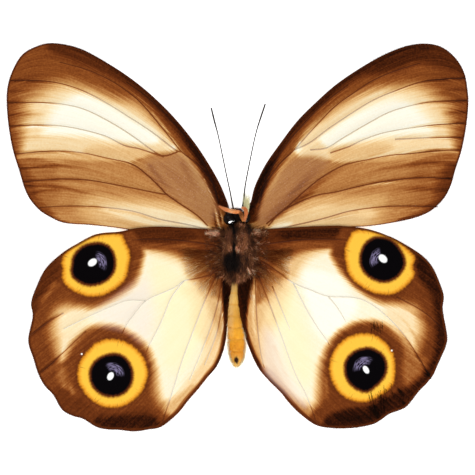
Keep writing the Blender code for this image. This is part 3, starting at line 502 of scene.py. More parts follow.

# How light the fur is over the head, chest and wing roots, painted like the wings, with a painted
# highlight, painted glints and painted shade along the crease of the chest
CHEST = {
    "ground": 0.41,
    "washes": [
        (0.06, -27, 50, 4, 9, 50, 4, 7, 27, 5, -27, 25, 5),
        (0.24, -26, 25, 5, 12, 24, 5, 8, 9, 5, -26, 9, 5),
        (0.56, 2, 29, 5, 18, 29, 5, 18, 14, 5, 4, 14, 5),
        (0.64, 0, 8, 5, 18, 10, 6, 20, -24, 6, 8, -32, 6, 0, -24, 5),
        (0.48, -25, 12, 5, -11, 10, 4, -10, -30, 4, -24, -30, 6),
        (0.72, -19, -19, 4, -11, -18, 3, -10, -32, 3, -19, -33, 3),
        # Painted highlight: a small pale patch on the fur in the middle of the chest
        (0.95, -4, -21, 2.5, 4, -23, 2.5, 2, -33, 2.5, -3, -30, 2.5),
        (0.04, -20, -33, 7, -6, -31, 6, 4, -38, 7, 5, -55, 7, -1, -69, 6, -12, -71, 6, -23, -64, 6, -27,
         -48, 6),
        (0.46, -30, -72, 5, -12, -76, 4, 6, -70, 4, 18, -66, 6, 16, -96, 6, -25, -96, 6),
        (0.15, 19, 56, 5, 32, 56, 5, 30, 10, 6, 19, 10, 5),
        (0.8, 33, 16, 3, 42, 14, 3, 43, 4, 3, 34, 4, 3),
        (0.9, -69, 11, 5, -50, 10, 4, -37, 13, 4, -36, 1, 4, -50, -1, 4, -66, 1, 5),
    ],
    "strokes": [
        # Painted shade: a dark line along the crease of the chest
        (-0.4, 0.2, -9, 23, -6.5, 10, -5, -2, -6, -12),
        (-0.5, 0.22, -6, -16, -7, -26, -6, -38, -6, -50),
        # Painted glints: short bright strokes on the fur at the rear right of the chest
        (0.75, 0.15, 21, -63, 25, -70, 27, -76),
        (0.8, 0.14, 30, -66, 33, -72, 34, -78),
        (0.6, 0.14, 25, -80, 27, -87, 27, -93),
        (0.3, 0.2, -34, -46, -46, -40, -60, -34),
        (0.35, 0.15, -32, 16, -42, 4, -56, -6, -66, -10),
        (0.35, 0.15, 34, -6, 46, -20, 54, -36, 58, -50),
        (0.35, 0.14, 32, -42, 50, -52, 70, -70, 80, -80),
        (0.35, 0.15, 26, 2, 34, 14, 40, 26, 44, 40),
        (0.3, 0.2, 32, -24, 44, -16, 56, -12, 70, -14),
    ],
}

# Body, in millimetres
THORAX_CENTRE = (0.35, -2.9, 2.75)
THORAX_RADII = (3.1, 5.6, 2.75)
CREASE_X = -0.6
CREASE_WIDTH = 0.3
CREASE_DEPTH = 0.35
HEAD_CENTRE = (-0.45, 4.2, 3.1)
HEAD_RADII = (1.9, 1.25, 1.5)
BROW_CENTRE = (0.45, 5.25, 4.0)
BROW_RADII = (0.45, 0.42, 0.4)
EYE_LEFT = (-1.5, 3.55, 3.75, 1.3)
EYE_RIGHT = (1.45, 3.8, 3.3, 1.25)
PALP_LEFT = [
    (0.4, 4.9, 4.8, 0.3), (-0.6, 4.95, 5.05, 0.36), (-1.7, 5.2, 5.1, 0.35),
    (-2.7, 5.55, 4.8, 0.27), (-3.6, 6.05, 4.4, 0.08),
]
PALP_RIGHT = [
    (1.0, 5.75, 4.3, 0.2), (1.55, 5.5, 4.8, 0.3), (1.75, 4.6, 5.1, 0.3), (1.45, 3.1, 5.1, 0.12),
]
PALP_INNER = [
    (0.45, 5.0, 4.4, 0.15), (0.7, 4.6, 4.9, 0.3), (0.95, 3.9, 5.0, 0.3), (1.1, 3.2, 4.9, 0.1),
]
ANTENNA_LEFT = [
    (-0.75, 5.4, 3.3, 0.14), (-1.15, 7.4, 3.2, 0.11), (-1.4, 8.8, 3.1, 0.1),
    (-2.2, 12.5, 2.8, 0.09), (-3.7, 19.7, 2.0, 0.09), (-4.6, 23.2, 1.5, 0.13),
    (-5.2, 25.7, 1.1, 0.12),
]
ANTENNA_RIGHT = [
    (1.0, 5.6, 3.3, 0.14), (1.3, 7.5, 3.2, 0.11), (1.65, 10.5, 3.0, 0.1),
    (2.7, 15.9, 2.5, 0.09), (3.75, 20.7, 1.9, 0.09), (4.8, 24.1, 1.5, 0.13),
    (5.6, 26.5, 1.1, 0.12),
]
ABDOMEN = [
    (-0.4, -7.4, 3.0, 0.7), (-0.5, -9.0, 3.0, 0.52), (-0.6, -10.6, 2.95, 0.58),
    (-0.72, -12.6, 2.85, 0.82), (-0.7, -15.0, 2.7, 1.08), (-0.46, -18.0, 2.45, 1.42),
    (-0.17, -20.6, 2.3, 1.68), (-0.08, -22.6, 2.15, 1.62), (-0.08, -24.0, 2.05, 1.36),
    (-0.18, -25.1, 1.95, 0.95), (-0.38, -25.9, 1.85, 0.3),
]
LEGS_LEFT = [(-1.2, 1.6), (-1.75, -0.2), (-1.65, -2.0), (-0.95, -4.2)]
LEGS_RIGHT = [(2.1, 1.4), (1.95, -0.4), (1.2, -2.4), (0.75, -4.4)]

# The photograph's frame in metres: 475 pixels of 0.2 mm, seen straight from above
PHOTO_WIDTH = 0.095
PHOTO_CENTRE = (0.00005, -0.0002)
WING_LEVEL = 0.0007
CAMERA_DISTANCE = 0.9
SENSOR_MM = 36.0

# Light: each lamp's name, place and size in metres, and watts; strengths of the floor and the world
LOW_LAMP = (0.366, -0.74, 0.18)
LAMPS = (
    ("key", (0.1, -0.3, 0.7), (0.5, 0.5), 2.6),
    ("fill", (-0.35, 0.35, 0.6), (0.5, 0.5), 1.7),
    ("low", LOW_LAMP, (0.26, 0.1), 3.2),
)
FLOOR_GLOW = 0.7
WORLD_GLOW = 0.42
WHITE = (1.0, 1.0, 1.0, 1.0)


def srgb(red, green, blue):
    """A colour given as 0 to 255 on screen, as linear light."""
    def linear(value):
        value = value / 255
        return value / 12.92 if value <= 0.04045 else ((value + 0.055) / 1.055) ** 2.4
    return tuple(linear(value) for value in (red, green, blue))


def hue(name, description, *shade):
    """A colour that the user can change, given as it shows on screen."""
    return FloatVectorProperty(name=name, description=description, subtype="COLOR", size=3,
                               min=0.0, max=1.0, default=srgb(*shade))


def extent(name, description, millimetres):
    """A length that the user can change."""
    return FloatProperty(name=name, description=description, unit="LENGTH", precision=5, min=0.0,
                         default=millimetres * MM)


class SpecimenSizes(bpy.types.PropertyGroup):
    """Sizes of the specimen's fine parts."""

    membrane: extent("Wing thickness", "Thickness of a wing between its veins", 0.1)
    vein_root: extent("Vein at the root", "Radius of a vein where it starts", 0.15)
    vein_tip: extent("Vein at the margin", "Radius of a vein where it ends", 0.09)
    ripple: extent("Ripple", "How far the wing sinks between its veins", 0.1)
    fringe: extent("Fringe", "Length of the hair scales along a wing's margin", 0.3)
    fur: extent("Chest fur", "Length of the fur on the chest", 1.3)
    down: extent("Down", "Length of the short fur on the hind body", 0.45)
    hairs: IntProperty(
        name="Chest hairs", description="How many hairs the chest carries", default=7600, min=100)


class SpecimenColours(bpy.types.PropertyGroup):
    """Colours of the specimen."""

    soot: hue("Soot", "Darkest scales", 15, 4, 0)
    umber: hue("Umber", "Dark scales of the leading edges", 45, 15, 3)
    bark: hue("Bark", "Dark brown scales", 85, 37, 10)
    rust: hue("Rust", "Brown scales of the wing tips", 113, 54, 19)
    amber: hue("Amber", "Light brown scales", 147, 81, 33)
    tan: hue("Tan", "Tan scales of the forewings", 183, 122, 65)
    gold: hue("Gold", "Golden scales round the cream", 216, 165, 102)
    straw: hue("Straw", "Pale golden scales", 240, 204, 148)
    cream: hue("Cream", "Cream scales", 250, 232, 192)
    white: hue("White", "Lightest scales", 254, 251, 235)
    mauve: hue("Mauve", "Pinkish cell of the forewings", 160, 112, 77)
    blush: hue("Blush", "Pale flecks in the cell", 226, 184, 162)
    rosy: hue("Rosy cream", "Greyish pink in the hindwings' middle", 240, 228, 220)
    glow: hue("Yellow glow", "Yellow cream near the body", 255, 242, 188)
    vein: hue("Vein", "Veins of the forewings on cream", 208, 192, 166)
    hind_vein: hue("Hind vein", "Veins of the hindwings on cream", 232, 224, 206)
    yellow: hue("Yellow", "Rings of the eyespots", 255, 196, 66)
    orange_rim: hue("Orange", "Edges of the rings", 222, 140, 30)
    black: hue("Black", "Middles of the eyespots", 3, 1, 3)
    blue: hue("Blue", "Bluish scales in the eyespots", 128, 118, 152)
    pitch: hue("Pitch", "Blackest fur", 12, 7, 6)
    sable: hue("Sable", "Dark fur", 44, 27, 18)
    brown: hue("Brown", "Brown fur", 88, 49, 29)
    hazel: hue("Hazel", "Light brown fur", 128, 78, 46)
    fawn: hue("Fawn", "Fawn fur", 172, 116, 74)
    pink: hue("Pink", "Pinkish fur at the wings' roots", 236, 144, 112)
    glint: hue("Glint", "Lightest hairs", 252, 220, 180)
    orange: hue("Palp orange", "Palps", 252, 170, 98)
    ember: hue("Palp ember", "Inner strand of the right palp", 240, 118, 46)
    palp_dark: hue("Palp shade", "Darker hairs of the palps", 222, 122, 58)
    palp_tip: hue("Palp light", "Lighter hairs of the palps", 255, 218, 168)
    tuft: hue("Tuft", "Pale hairs by the antenna and round the hind body", 250, 244, 206)
    tuft_dark: hue("Tuft shade", "Darker hairs of the tuft", 232, 228, 172)
    straw_hair: hue("Fringe hair", "Hairs round the hind body", 244, 230, 184)
    olive: hue("Olive", "Front of the hind body", 190, 146, 80)
    sand: hue("Sand", "Pale yellow of the hind body", 232, 186, 96)
    honey: hue("Honey", "Deeper yellow of the hind body", 226, 164, 62)
    marigold: hue("Marigold", "Orange yellow of the hind body", 250, 178, 50)


def operator(operation, turned=False):
    """A method that adds a Math node for one of Python's operators."""
    def method(self, other):
        pair = (other, self) if turned else (self, other)
        return self.finish.math(operation, *pair)
    return method


class Value:
    """A number that varies over a surface. Python's operators on it add Math nodes."""

    __add__ = operator("ADD")
    __sub__ = operator("SUBTRACT")
    __rsub__ = operator("SUBTRACT", turned=True)
    __mul__ = operator("MULTIPLY")
    __truediv__ = operator("DIVIDE")
    __rtruediv__ = operator("DIVIDE", turned=True)
    __radd__ = __add__
    __rmul__ = __mul__

    def __init__(self, finish, socket):
        self.finish = finish
        self.socket = socket


class Finish:
    """A material whose nodes are built from Python expressions."""

    def __init__(self, name, roughness=0.6, specular=0.2):
        self.material = bpy.data.materials.new(name)
        self.material.use_nodes = True
        self.tree = self.material.node_tree
        self.shader = self.tree.nodes["Principled BSDF"]
        self.shader.inputs["Roughness"].default_value = roughness
        self.shader.inputs["Specular IOR Level"].default_value = specular

    def feed(self, socket, value):
        """Link a value or a node's output to a socket, or set the socket's number or colour."""
        if isinstance(value, Value):
            value = value.socket
        if isinstance(value, bpy.types.NodeSocket):
            self.tree.links.new(value, socket)
        elif socket.type == "RGBA":
            socket.default_value = (*tuple(value)[:3], 1.0)
        else:
            socket.default_value = value

    def node(self, kind, settings, sockets):
        """Add a node: its settings first, then the numbers or links of its sockets."""
        made = self.tree.nodes.new(kind)
        for name, value in settings.items():
            if name == "stops":
                self.set_stops(made.color_ramp, value)
            else:
                setattr(made, name, value)
        for name, value in sockets.items():
            self.feed(made.inputs[name], value)
        return made

    def set_stops(self, ramp, stops):
        """Give a colour ramp its places and colours."""
        while len(ramp.elements) < len(stops):
            ramp.elements.new(1.0)
        for element, (level, colour) in zip(ramp.elements, stops):
            element.position = level
            element.color = (*tuple(colour)[:3], 1.0)

    def math(self, operation, *numbers):
        """A Math node on one, two or three numbers."""
        made = self.node("ShaderNodeMath", {"operation": operation}, dict(enumerate(numbers)))
        return Value(self, made.outputs[0])

    def place(self):
        """Where a point of the piece is, as a vector."""
        return self.node("ShaderNodeTexCoord", {}, {}).outputs["Object"]

    def millimetres(self):
        """The x and y of a point of the piece, in millimetres."""
        split = self.node("ShaderNodeSeparateXYZ", {}, {0: self.place()})
        return Value(self, split.outputs[0]) / MM, Value(self, split.outputs[1]) / MM

    def attribute(self, name):
        """A number that the mesh carries."""
        made = self.node("ShaderNodeAttribute", {"attribute_name": name}, {})
        return Value(self, made.outputs["Fac"])

    def stretched(self, vector, scale):
        """A vector scaled along each of its axes."""
        made = self.node("ShaderNodeMapping", {}, {"Vector": vector, "Scale": scale})
        return made.outputs[0]

    def noise(self, vector, scale, detail=2.0):
        """Soft noise from 0 to 1."""
        sockets = {"Vector": vector, "Scale": scale, "Detail": detail}
        return Value(self, self.node("ShaderNodeTexNoise", {}, sockets).outputs[0])

    def ease(self, value, low, high):
        """0 at low, 1 at high and smooth between them."""
        sockets = {0: value, 1: low, 2: high}
        made = self.node("ShaderNodeMapRange", {"interpolation_type": "SMOOTHSTEP"}, sockets)
        return Value(self, made.outputs[0])

    def mix(self, share, first, second):
        """The first colour where share is 0, the second where it is 1."""
        settings = {"data_type": "RGBA", "clamp_factor": True}
        made = self.node("ShaderNodeMix", settings, {0: share, 6: first, 7: second})
        return made.outputs[2]

    def finish(self, colour, height=None, bump=0.0):
        """Set the colour and the fine relief, and return the material."""
        self.feed(self.shader.inputs["Base Color"], colour)
        if height is not None:
            sockets = {"Height": height, "Strength": 1.0, "Distance": bump}
            relief = self.node("ShaderNodeBump", {}, sockets)
            self.feed(self.shader.inputs["Normal"], relief.outputs[0])
        return self.material


def deselect():
    """Leave object mode's selection empty."""
    bpy.ops.object.select_all(action="DESELECT")


def only(thing):
    """Select one object and make it the active one."""
    deselect()
    thing.select_set(True)
    bpy.context.view_layer.objects.active = thing


def named(name):
    """Name the object that was just added, and its mesh."""
    made = bpy.context.active_object
    made.name = name
    made.data.name = name
    return made


def apply_modifier(thing, kind, **settings):
    """Add a modifier and apply it."""
    only(thing)
    step = thing.modifiers.new(kind, kind)
    for name, value in settings.items():
        setattr(step, name, value)
    bpy.ops.object.modifier_apply(modifier=step.name)


def join(pieces):
    """Join pieces into the first of them."""
    deselect()
    for piece in pieces:
        piece.select_set(True)
    bpy.context.view_layer.objects.active = pieces[0]
    bpy.ops.object.join()
    return pieces[0]


def dress(piece, slot, *nodes):
    """Hang a piece on the root body and hide the solids that it stands for. The slot is not used."""
    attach(piece, "root")
    if nodes:
        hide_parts(*nodes)


def paint(piece, material):
    """Give a piece its next material."""
    piece.data.materials.append(material)


def points_of(mesh):
    """A mesh's vertices as an array."""
    found = np.empty(len(mesh.vertices) * 3)
    mesh.vertices.foreach_get("co", found)
    return found.reshape(-1, 3)


def move_points(mesh, places):
    """Move a mesh's vertices."""
    mesh.vertices.foreach_set("co", np.asarray(places).ravel())
    mesh.update()


def carry(mesh, name, numbers):
    """Store a number for each vertex, for the materials to read."""
    if name not in mesh.attributes:
        mesh.attributes.new(name, "FLOAT", "POINT")
    mesh.attributes[name].data.foreach_set("value", np.asarray(numbers, dtype=np.float32))


def rows(numbers, size):
    """Tenths of a millimetre as rows of a few numbers each, such as x and y, in millimetres."""
    return np.array(numbers).reshape(-1, size) / 10


def smooth_line(points, steps, closed=False):
    """A smooth curve through points, with the same number of steps between all of them."""
    knots = np.array(points, dtype=float)
    if closed:
        around = np.vstack([knots[-1:], knots, knots[:2]])
    else:
        first = 2 * knots[0] - knots[1]
        last = 2 * knots[-1] - knots[-2]
        around = np.vstack([first, knots, last])
    share = np.arange(steps)[:, None] / steps
    made = []
    for before, start, end, after in zip(around, around[1:], around[2:], around[3:]):
        bend = -before + 3 * start - 3 * end + after
        lean = 2 * before - 5 * start + 4 * end - after
        made.append(0.5 * (2 * start + (end - before) * share + lean * share ** 2 + bend * share ** 3))
    if not closed:
        made.append(knots[-1:])
    return np.vstack(made)


def even(line, count):
    """Points spaced evenly along a line."""
    reach = np.concatenate([[0], np.cumsum(np.linalg.norm(np.diff(line, axis=0), axis=1))])
    wanted = np.linspace(0, reach[-1], count)
    return np.stack([np.interp(wanted, reach, column) for column in line.T], axis=1)


def nearest(places, line):
    """Distance from each place to a line, and which stretch of the line is nearest and how far along."""
    best = np.full(len(places), np.inf)
    where = np.zeros(len(places))
    for step, (start, end) in enumerate(zip(line, line[1:])):
        along = end - start
        share = np.clip((places - start) @ along / max(along @ along, 1e-12), 0, 1)
        gap = np.linalg.norm(places - start - share[:, None] * along, axis=1)
        closer = gap < best
        best[closer] = gap[closer]
        where[closer] = step + share[closer]
    return best, where


def inside(places, loop):
    """True for each place inside a closed outline."""
    found = np.zeros(len(places), dtype=bool)
    for start, end in zip(loop, np.roll(loop, -1, axis=0)):
        if start[1] == end[1]:
            continue
        level = (start[1] > places[:, 1]) != (end[1] > places[:, 1])
        crossing = start[0] + (places[:, 1] - start[1]) * (end[0] - start[0]) / (end[1] - start[1])
        found ^= level & (places[:, 0] < crossing)
    return found


def depth(places, outline):
    """How deep each place lies inside a smooth closed outline, less than 0 outside it."""
    loop = smooth_line(outline, 4, closed=True)
    gap = nearest(places, np.vstack([loop, loop[:1]]))[0]
    return np.where(inside(places, loop), gap, -gap)


def close_to(places, line, margin):
    """True for places in the box round a line, widened by a margin."""
    low, high = line.min(axis=0) - margin, line.max(axis=0) + margin
    return np.all((places > low) & (places < high), axis=1)


def zone(places, outline):
    """How far each place lies inside a soft-edged outline, from 0 to 1."""
    loop = smooth_line(outline, 4, closed=True)
    ring = np.vstack([loop, loop[:1]])
    total = np.zeros(len(places))
    close = close_to(places, loop[:, :2], loop[:, 2].max())
    gap, where = nearest(places[close], ring[:, :2])
    softness = np.interp(where, np.arange(len(ring)), ring[:, 2])
    signed = np.where(inside(places[close], loop[:, :2]), gap, -gap)
    share = np.clip(0.5 + signed / (2 * np.maximum(softness, 0.2)), 0, 1)
    total[close] = share * share * (3 - 2 * share)
    return total


def forewing_level(places):
    """Middle of a forewing's thickness above the surface, in millimetres."""
    reach = np.hypot(np.abs(places[:, 0]) - HINGE_X, places[:, 1])
    return ROOT_HEIGHT - TIP_DROP * (reach / TIP_REACH) ** DROOP_POWER


def hindwing_level(places):
    """The hindwing lies over the forewing, and comes down behind it."""
    back = np.clip((SINK_START_Y - places[:, 1]) / SINK_LENGTH, 0, 1)
    back = back * back * (3 - 2 * back)
    return forewing_level(places) + HINDWING_LIFT * (1 - back) - HINDWING_SINK * back


def wing_sides(wing):
    """The four sides of a wing as lines: front, outer, rear and root."""
    loop = smooth_line(rows(wing["outline"], 2), KNOT_STEPS, closed=True)
    front, tip, corner, rear = [knot * KNOT_STEPS for knot in wing["corners"]]
    root = np.vstack([loop[rear:], loop[:1]])[::-1]
    return loop[front:tip + 1], loop[tip:corner + 1], loop[corner:rear + 1][::-1], root


def grid(name, columns, rows_across):
    """A flat grid from -1 to 1 both ways."""
    deselect()
    bpy.ops.mesh.primitive_grid_add(
        x_subdivisions=columns, y_subdivisions=rows_across, size=2.0, location=(0, 0, 0))
    return named(name)


def wing_sheet(name, wing, level, sizes):
    """A wing's membrane: a grid drawn between the four sides, with its thickness."""
    sheet = grid(name, CELLS_ALONG, CELLS_ACROSS)
    cells = points_of(sheet.data)
    column = np.rint((cells[:, 0] + 1) / 2 * CELLS_ALONG).astype(int)
    row = np.rint((cells[:, 1] + 1) / 2 * CELLS_ACROSS).astype(int)
    front, outer, rear, root = wing_sides(wing)
    front = even(front, CELLS_ALONG + 1)[column]
    rear = even(rear, CELLS_ALONG + 1)[column]
    root_line = even(root, CELLS_ACROSS + 1)
    outer_line = even(outer, CELLS_ACROSS + 1)
    along = (column / CELLS_ALONG)[:, None]
    across = (row / CELLS_ACROSS)[:, None]
    flat = (1 - across) * front + across * rear
    flat += (1 - along) * root_line[row] + along * outer_line[row]
    flat -= (1 - along) * ((1 - across) * root_line[0] + across * root_line[-1])
    flat -= along * ((1 - across) * outer_line[0] + across * outer_line[-1])
    height = level(flat) + ripple(flat, wing, sizes)
    move_points(sheet.data, np.column_stack([flat, height]) * MM)
    if np.mean(flat[:, 0]) > 0:
        edit((bpy.ops.mesh.flip_normals, {}))
    apply_modifier(sheet, "SOLIDIFY", thickness=sizes.membrane, offset=0.0)
    return sheet


def ripple(places, wing, sizes):
    """Ridges at the veins and shallow troughs between them, in millimetres."""
    gap = np.full(len(places), np.inf)
    for route in wing["veins"].values():
        gap = np.minimum(gap, nearest(places, rows(route, 2))[0])
    depth = sizes.ripple / MM
    return -depth * (1 - np.exp(-(gap / 1.2) ** 2)) + depth * 0.5


def placed(name, data):
    """A new object in the scene for a mesh or a curve."""
    made = bpy.data.objects.new(name, data)
    bpy.context.scene.collection.objects.link(made)
    return made


def edit(*steps):
    """Run edit mode's operators on the whole of the active object, each with its settings."""
    bpy.ops.object.mode_set(mode="EDIT")
    for step, settings in steps:
        bpy.ops.mesh.select_all(action="SELECT")
        step(**settings)
    bpy.ops.object.mode_set(mode="OBJECT")


def tubes(name, lines, sides, steps=4):
    """One mesh of closed tubes along lines of x, y, z and radius, in millimetres."""
    curve = bpy.data.curves.new(name, "CURVE")
    curve.dimensions = "3D"
    curve.bevel_depth = MM
    curve.bevel_resolution = (sides - 4) // 2
    curve.use_fill_caps = True
    for line in lines:
        dense = smooth_line(line, steps)
        spline = curve.splines.new("POLY")
        spline.points.add(len(dense) - 1)
        for knot, point in zip(spline.points, dense):
            knot.co = (*(point[:3] * MM), 1.0)
            knot.radius = max(point[3], 0.01)
    only(placed(name, curve))
    bpy.ops.object.convert(target="MESH")
    made = named(name)
    edit((bpy.ops.mesh.remove_doubles, {"threshold": WELD}),
         (bpy.ops.mesh.normals_make_consistent, {"inside": False}))
    made.data.shade_smooth()
    return made


def wing_veins(name, wing, level, sizes):
    """The veins as fine tapered tubes on the upper face, and their counterparts below."""
    lines = []
    for route in wing["veins"].values():
        flat = rows(route, 2)
        share = np.linspace(0, 1, len(flat))
        radius = (sizes.vein_root + (sizes.vein_tip - sizes.vein_root) * share) / MM
        height = level(flat) + ripple(flat, wing, sizes) + 0.05
        lines.append(np.column_stack([flat, height, radius]))
    return tubes(name, lines, 6)


def strand():
    """One upright hair of unit length and width, modelled once and copied for every hair."""
    deselect()
    bpy.ops.mesh.primitive_cone_add(
        vertices=3, radius1=1.0, radius2=0.0, depth=1.0, location=(0, 0, 0.5)
    )
    made = named("strand")
    bpy.ops.object.transform_apply(location=True)
    edit(*[(bpy.ops.mesh.bisect, {"plane_co": (0, 0, height), "plane_no": (0, 0, 1)})
           for height in HAIR_RINGS])
    shape = points_of(made.data)
    faces = [tuple(face.vertices) for face in made.data.polygons]
    bpy.data.objects.remove(made, do_unlink=True)
    return shape, faces


def unit(vectors):
    """Vectors brought to length 1."""
    return vectors / np.maximum(np.linalg.norm(vectors, axis=1), 1e-9)[:, None]


def hairs(name, roots, aims, bends, lengths, widths, shades):
    """One mesh of many curved tapered hairs, each a copy of the same strand, in millimetres."""
    shape, faces = strand()
    widths = np.zeros(len(roots)) + widths
    aims = unit(aims)
    side = unit(np.cross(aims, np.array([0.31, 0.52, 0.79])))
    other = np.cross(aims, side)
    height = shape[:, 2][None, :, None]
    reach = lengths[:, None, None] * height
    places = roots[:, None, :] + aims[:, None, :] * reach + bends[:, None, :] * reach * height
    places = places + side[:, None, :] * shape[:, 0][None, :, None] * widths[:, None, None]
    places = places + other[:, None, :] * shape[:, 1][None, :, None] * widths[:, None, None]
    count = len(shape)
    polygons = [tuple(corner + first * count for corner in face)
                for first in range(len(roots)) for face in faces]
    mesh = bpy.data.meshes.new(name)
    mesh.from_pydata((places.reshape(-1, 3) * MM).tolist(), [], polygons)
    mesh.update()
    mesh.shade_smooth()
    carry(mesh, "shade", np.repeat(shades, count))
    carry(mesh, "tip", np.tile(shape[:, 2], len(roots)))
    return placed(name, mesh)


def scatter(piece, count, rng):
    """Random places on a piece's surface with their normals, spread by area, in millimetres."""
    mesh = piece.data
    mesh.calc_loop_triangles()
    corners = np.empty(len(mesh.loop_triangles) * 3, dtype=np.int64)
    mesh.loop_triangles.foreach_get("vertices", corners)
    corner = points_of(mesh)[corners.reshape(-1, 3)] / MM
    cross = np.cross(corner[:, 1] - corner[:, 0], corner[:, 2] - corner[:, 0])
    area = np.linalg.norm(cross, axis=1)
    pick = rng.choice(len(area), count, p=area / area.sum())
    first, second = rng.random((2, count))
    flip = first + second > 1
    first[flip], second[flip] = 1 - first[flip], 1 - second[flip]
    base = corner[pick]
    places = base[:, 0] + first[:, None] * (base[:, 1] - base[:, 0])
    places = places + second[:, None] * (base[:, 2] - base[:, 0])
    return places, unit(cross[pick])


def patchy(places, scale, rng):
    """Smooth random patches from 0 to 1 over places."""
    total = np.zeros(len(places))
    for octave in range(3):
        turn = rng.normal(size=(3, places.shape[1])) * scale * 1.7 ** octave
        start = rng.random(3) * 2 * math.pi
        total += np.sin(places @ turn.T + start).sum(axis=1) / 1.5 ** octave
    return 0.5 + 0.5 * np.tanh(total * 0.6)


def wing_fringe(name, wing, level, sizes, rng):
    """Short hair scales that stand out from the free margins."""
    front, outer, rear, _ = wing_sides(wing)
    edge = np.vstack([front[-len(front) // 3:], outer, rear[::-1][: 2 * len(rear) // 3]])
    reach = np.linalg.norm(np.diff(edge, axis=0), axis=1).sum()
    line = even(edge, int(reach / FRINGE_SPACING))
    along = unit(np.gradient(line, axis=0))
    out = np.column_stack([along[:, 1], -along[:, 0]])
    middle = np.mean(rows(wing["outline"], 2), axis=0)
    out *= np.sign(np.sum(out * (line - middle), axis=1))[:, None]
    count = len(line)
    out = unit(out + along * rng.normal(0, 0.25, count)[:, None])
    lift = rng.normal(0, 0.08, count)
    aims = np.column_stack([out, lift])
    roots = np.column_stack([line - out * 0.12, level(line)])
    lengths = sizes.fringe / MM * rng.uniform(0.7, 1.15, count) + 0.12
    return hairs(name, roots, aims, np.zeros((count, 3)), lengths, FRINGE_WIDTH, rng.random(count))


def painted(places, painting):
    """How light each place is, from 0 to 1: soft washes over a ground, then strokes that fade out."""
    tone = np.full(len(places), painting["ground"])
    for level, *outline in painting["washes"]:
        tone += (level - tone) * zone(places, rows(outline, 3))
    for spot in painting.get("spots", ()):
        share = np.clip(1.0 + depth(places, rows(spot["ring"], 2)), 0, 1)
        tone += (HALO_TONE - tone) * share * HALO_STRENGTH
    for change, width, *route in painting["strokes"]:
        line = smooth_line(rows(route, 2), 5)
        close = close_to(places, line, 3 * width)
        gap, where = nearest(places[close], line)
        fade = np.clip((len(line) - 1 - where) / (len(line) * FADING_SHARE), 0, 1)
        tone[close] += change * np.exp(-(gap / width) ** 2) * fade
    return tone


def wing_attributes(piece, wing):
    """Store on a wing's vertices what its materials read: tone, tints and distances to edges."""
    places = points_of(piece.data)[:, :2] / MM
    front, outer, rear, _ = wing_sides(wing)
    tone = painted(places, wing)
    shifts = ((SLOPE_STEP, 0.0), (0.0, SLOPE_STEP))
    steep = [painted(places + shift, wing) - tone for shift in shifts]
    carry(piece.data, "tone", tone)
    carry(piece.data, "slope", np.hypot(*steep) / SLOPE_STEP)
    for name in ("tint", "glow"):
        if name in wing:
            carry(piece.data, name, zone(places, rows(wing[name], 3)))
    free = np.minimum(nearest(places, outer)[0], nearest(places, front)[0])
    carry(piece.data, "rim", free)
    carry(piece.data, "rear", nearest(places, rear)[0])
    for count, spot in enumerate(wing.get("spots", ())):
        carry(piece.data, "ring %d" % count, depth(places, rows(spot["ring"], 2)))
        carry(piece.data, "disc %d" % count, depth(places, rows(spot["disc"], 2)))


def streaks(finish, across, along):
    """Noise drawn out along the veins."""
    uv = finish.node("ShaderNodeUVMap", {"uv_map": "UVMap"}, {}).outputs[0]
    return finish.noise(finish.stretched(uv, (along, across, 1.0)), 1.0, 3.0)


def ramp_colour(finish, colours, tones, tone):
    """The colour at a tone from 0 to 1, for a list of colours' names and their tones."""
    stops = [(level, getattr(colours, name)) for name, level in tones]
    return finish.node("ShaderNodeValToRGB", {"stops": stops}, {"Fac": tone}).outputs["Color"]


def scale_colour(finish, colours, tone):
    """The colour of the wings' scales at a tone from 0 to 1."""
    return ramp_colour(finish, colours, TONES, tone)


def scaly_wing(finish, colours, rim_width, streaky):
    """What both kinds of wing share: the streaked tone with a dark rim, its colour and relief."""
    fine = streaks(finish, 190.0, 7.0) - 0.5
    broad = streaks(finish, 46.0, 3.0) - 0.5
    grain = finish.noise(finish.place(), 2600.0, 3.0) - 0.5
    tone = finish.attribute("tone")
    loose = 1.12 - tone
    ragged = (fine * 1.3 + broad * 1.1) * finish.attribute("slope") * (tone * 0.5 + 0.5)
    stripes = fine * 0.34 * streaky + broad * 0.26
    tone = tone + (stripes + grain * 0.3) * loose + ragged * streaky
    edge = finish.math("MINIMUM", finish.attribute("rim"), finish.attribute("rear") * rim_width)
    rim = 1 - finish.ease(edge + fine * 0.3, 0.12, 0.5)
    tone = tone + (0.2 - tone) * rim * 0.85
    return scale_colour(finish, colours, tone), fine, grain


def forewing_material(colours):
    """Underside of a forewing: tan, with a cream band, brown tip and dark leading edge."""
    finish = Finish("forewing scales", 0.7, 0.03)
    colour, fine, grain = scaly_wing(finish, colours, 2.0, 1.0)
    mauve = finish.attribute("tint")
    colour = finish.mix(mauve * 0.45, colour, colours.mauve)
    fleck = finish.ease(finish.noise(finish.place(), 4200.0, 2.0), 0.6, 0.72)
    colour = finish.mix(fleck * mauve * 0.3, colour, colours.blush)
    return finish.finish(colour, fine * 0.5 + grain, SCALE_RELIEF)


def ring_distance(finish, x, y, centre, radii, turn=0.0):
    """Distance from an ellipse's middle, where 1 is on the ellipse."""
    cos, sin = math.cos(math.radians(turn)), math.sin(math.radians(turn))
    over, up = x - centre[0], y - centre[1]
    long = (over * cos + up * sin) / radii[0]
    short = (up * cos - over * sin) / radii[1]
    return finish.math("SQRT", long * long + short * short)


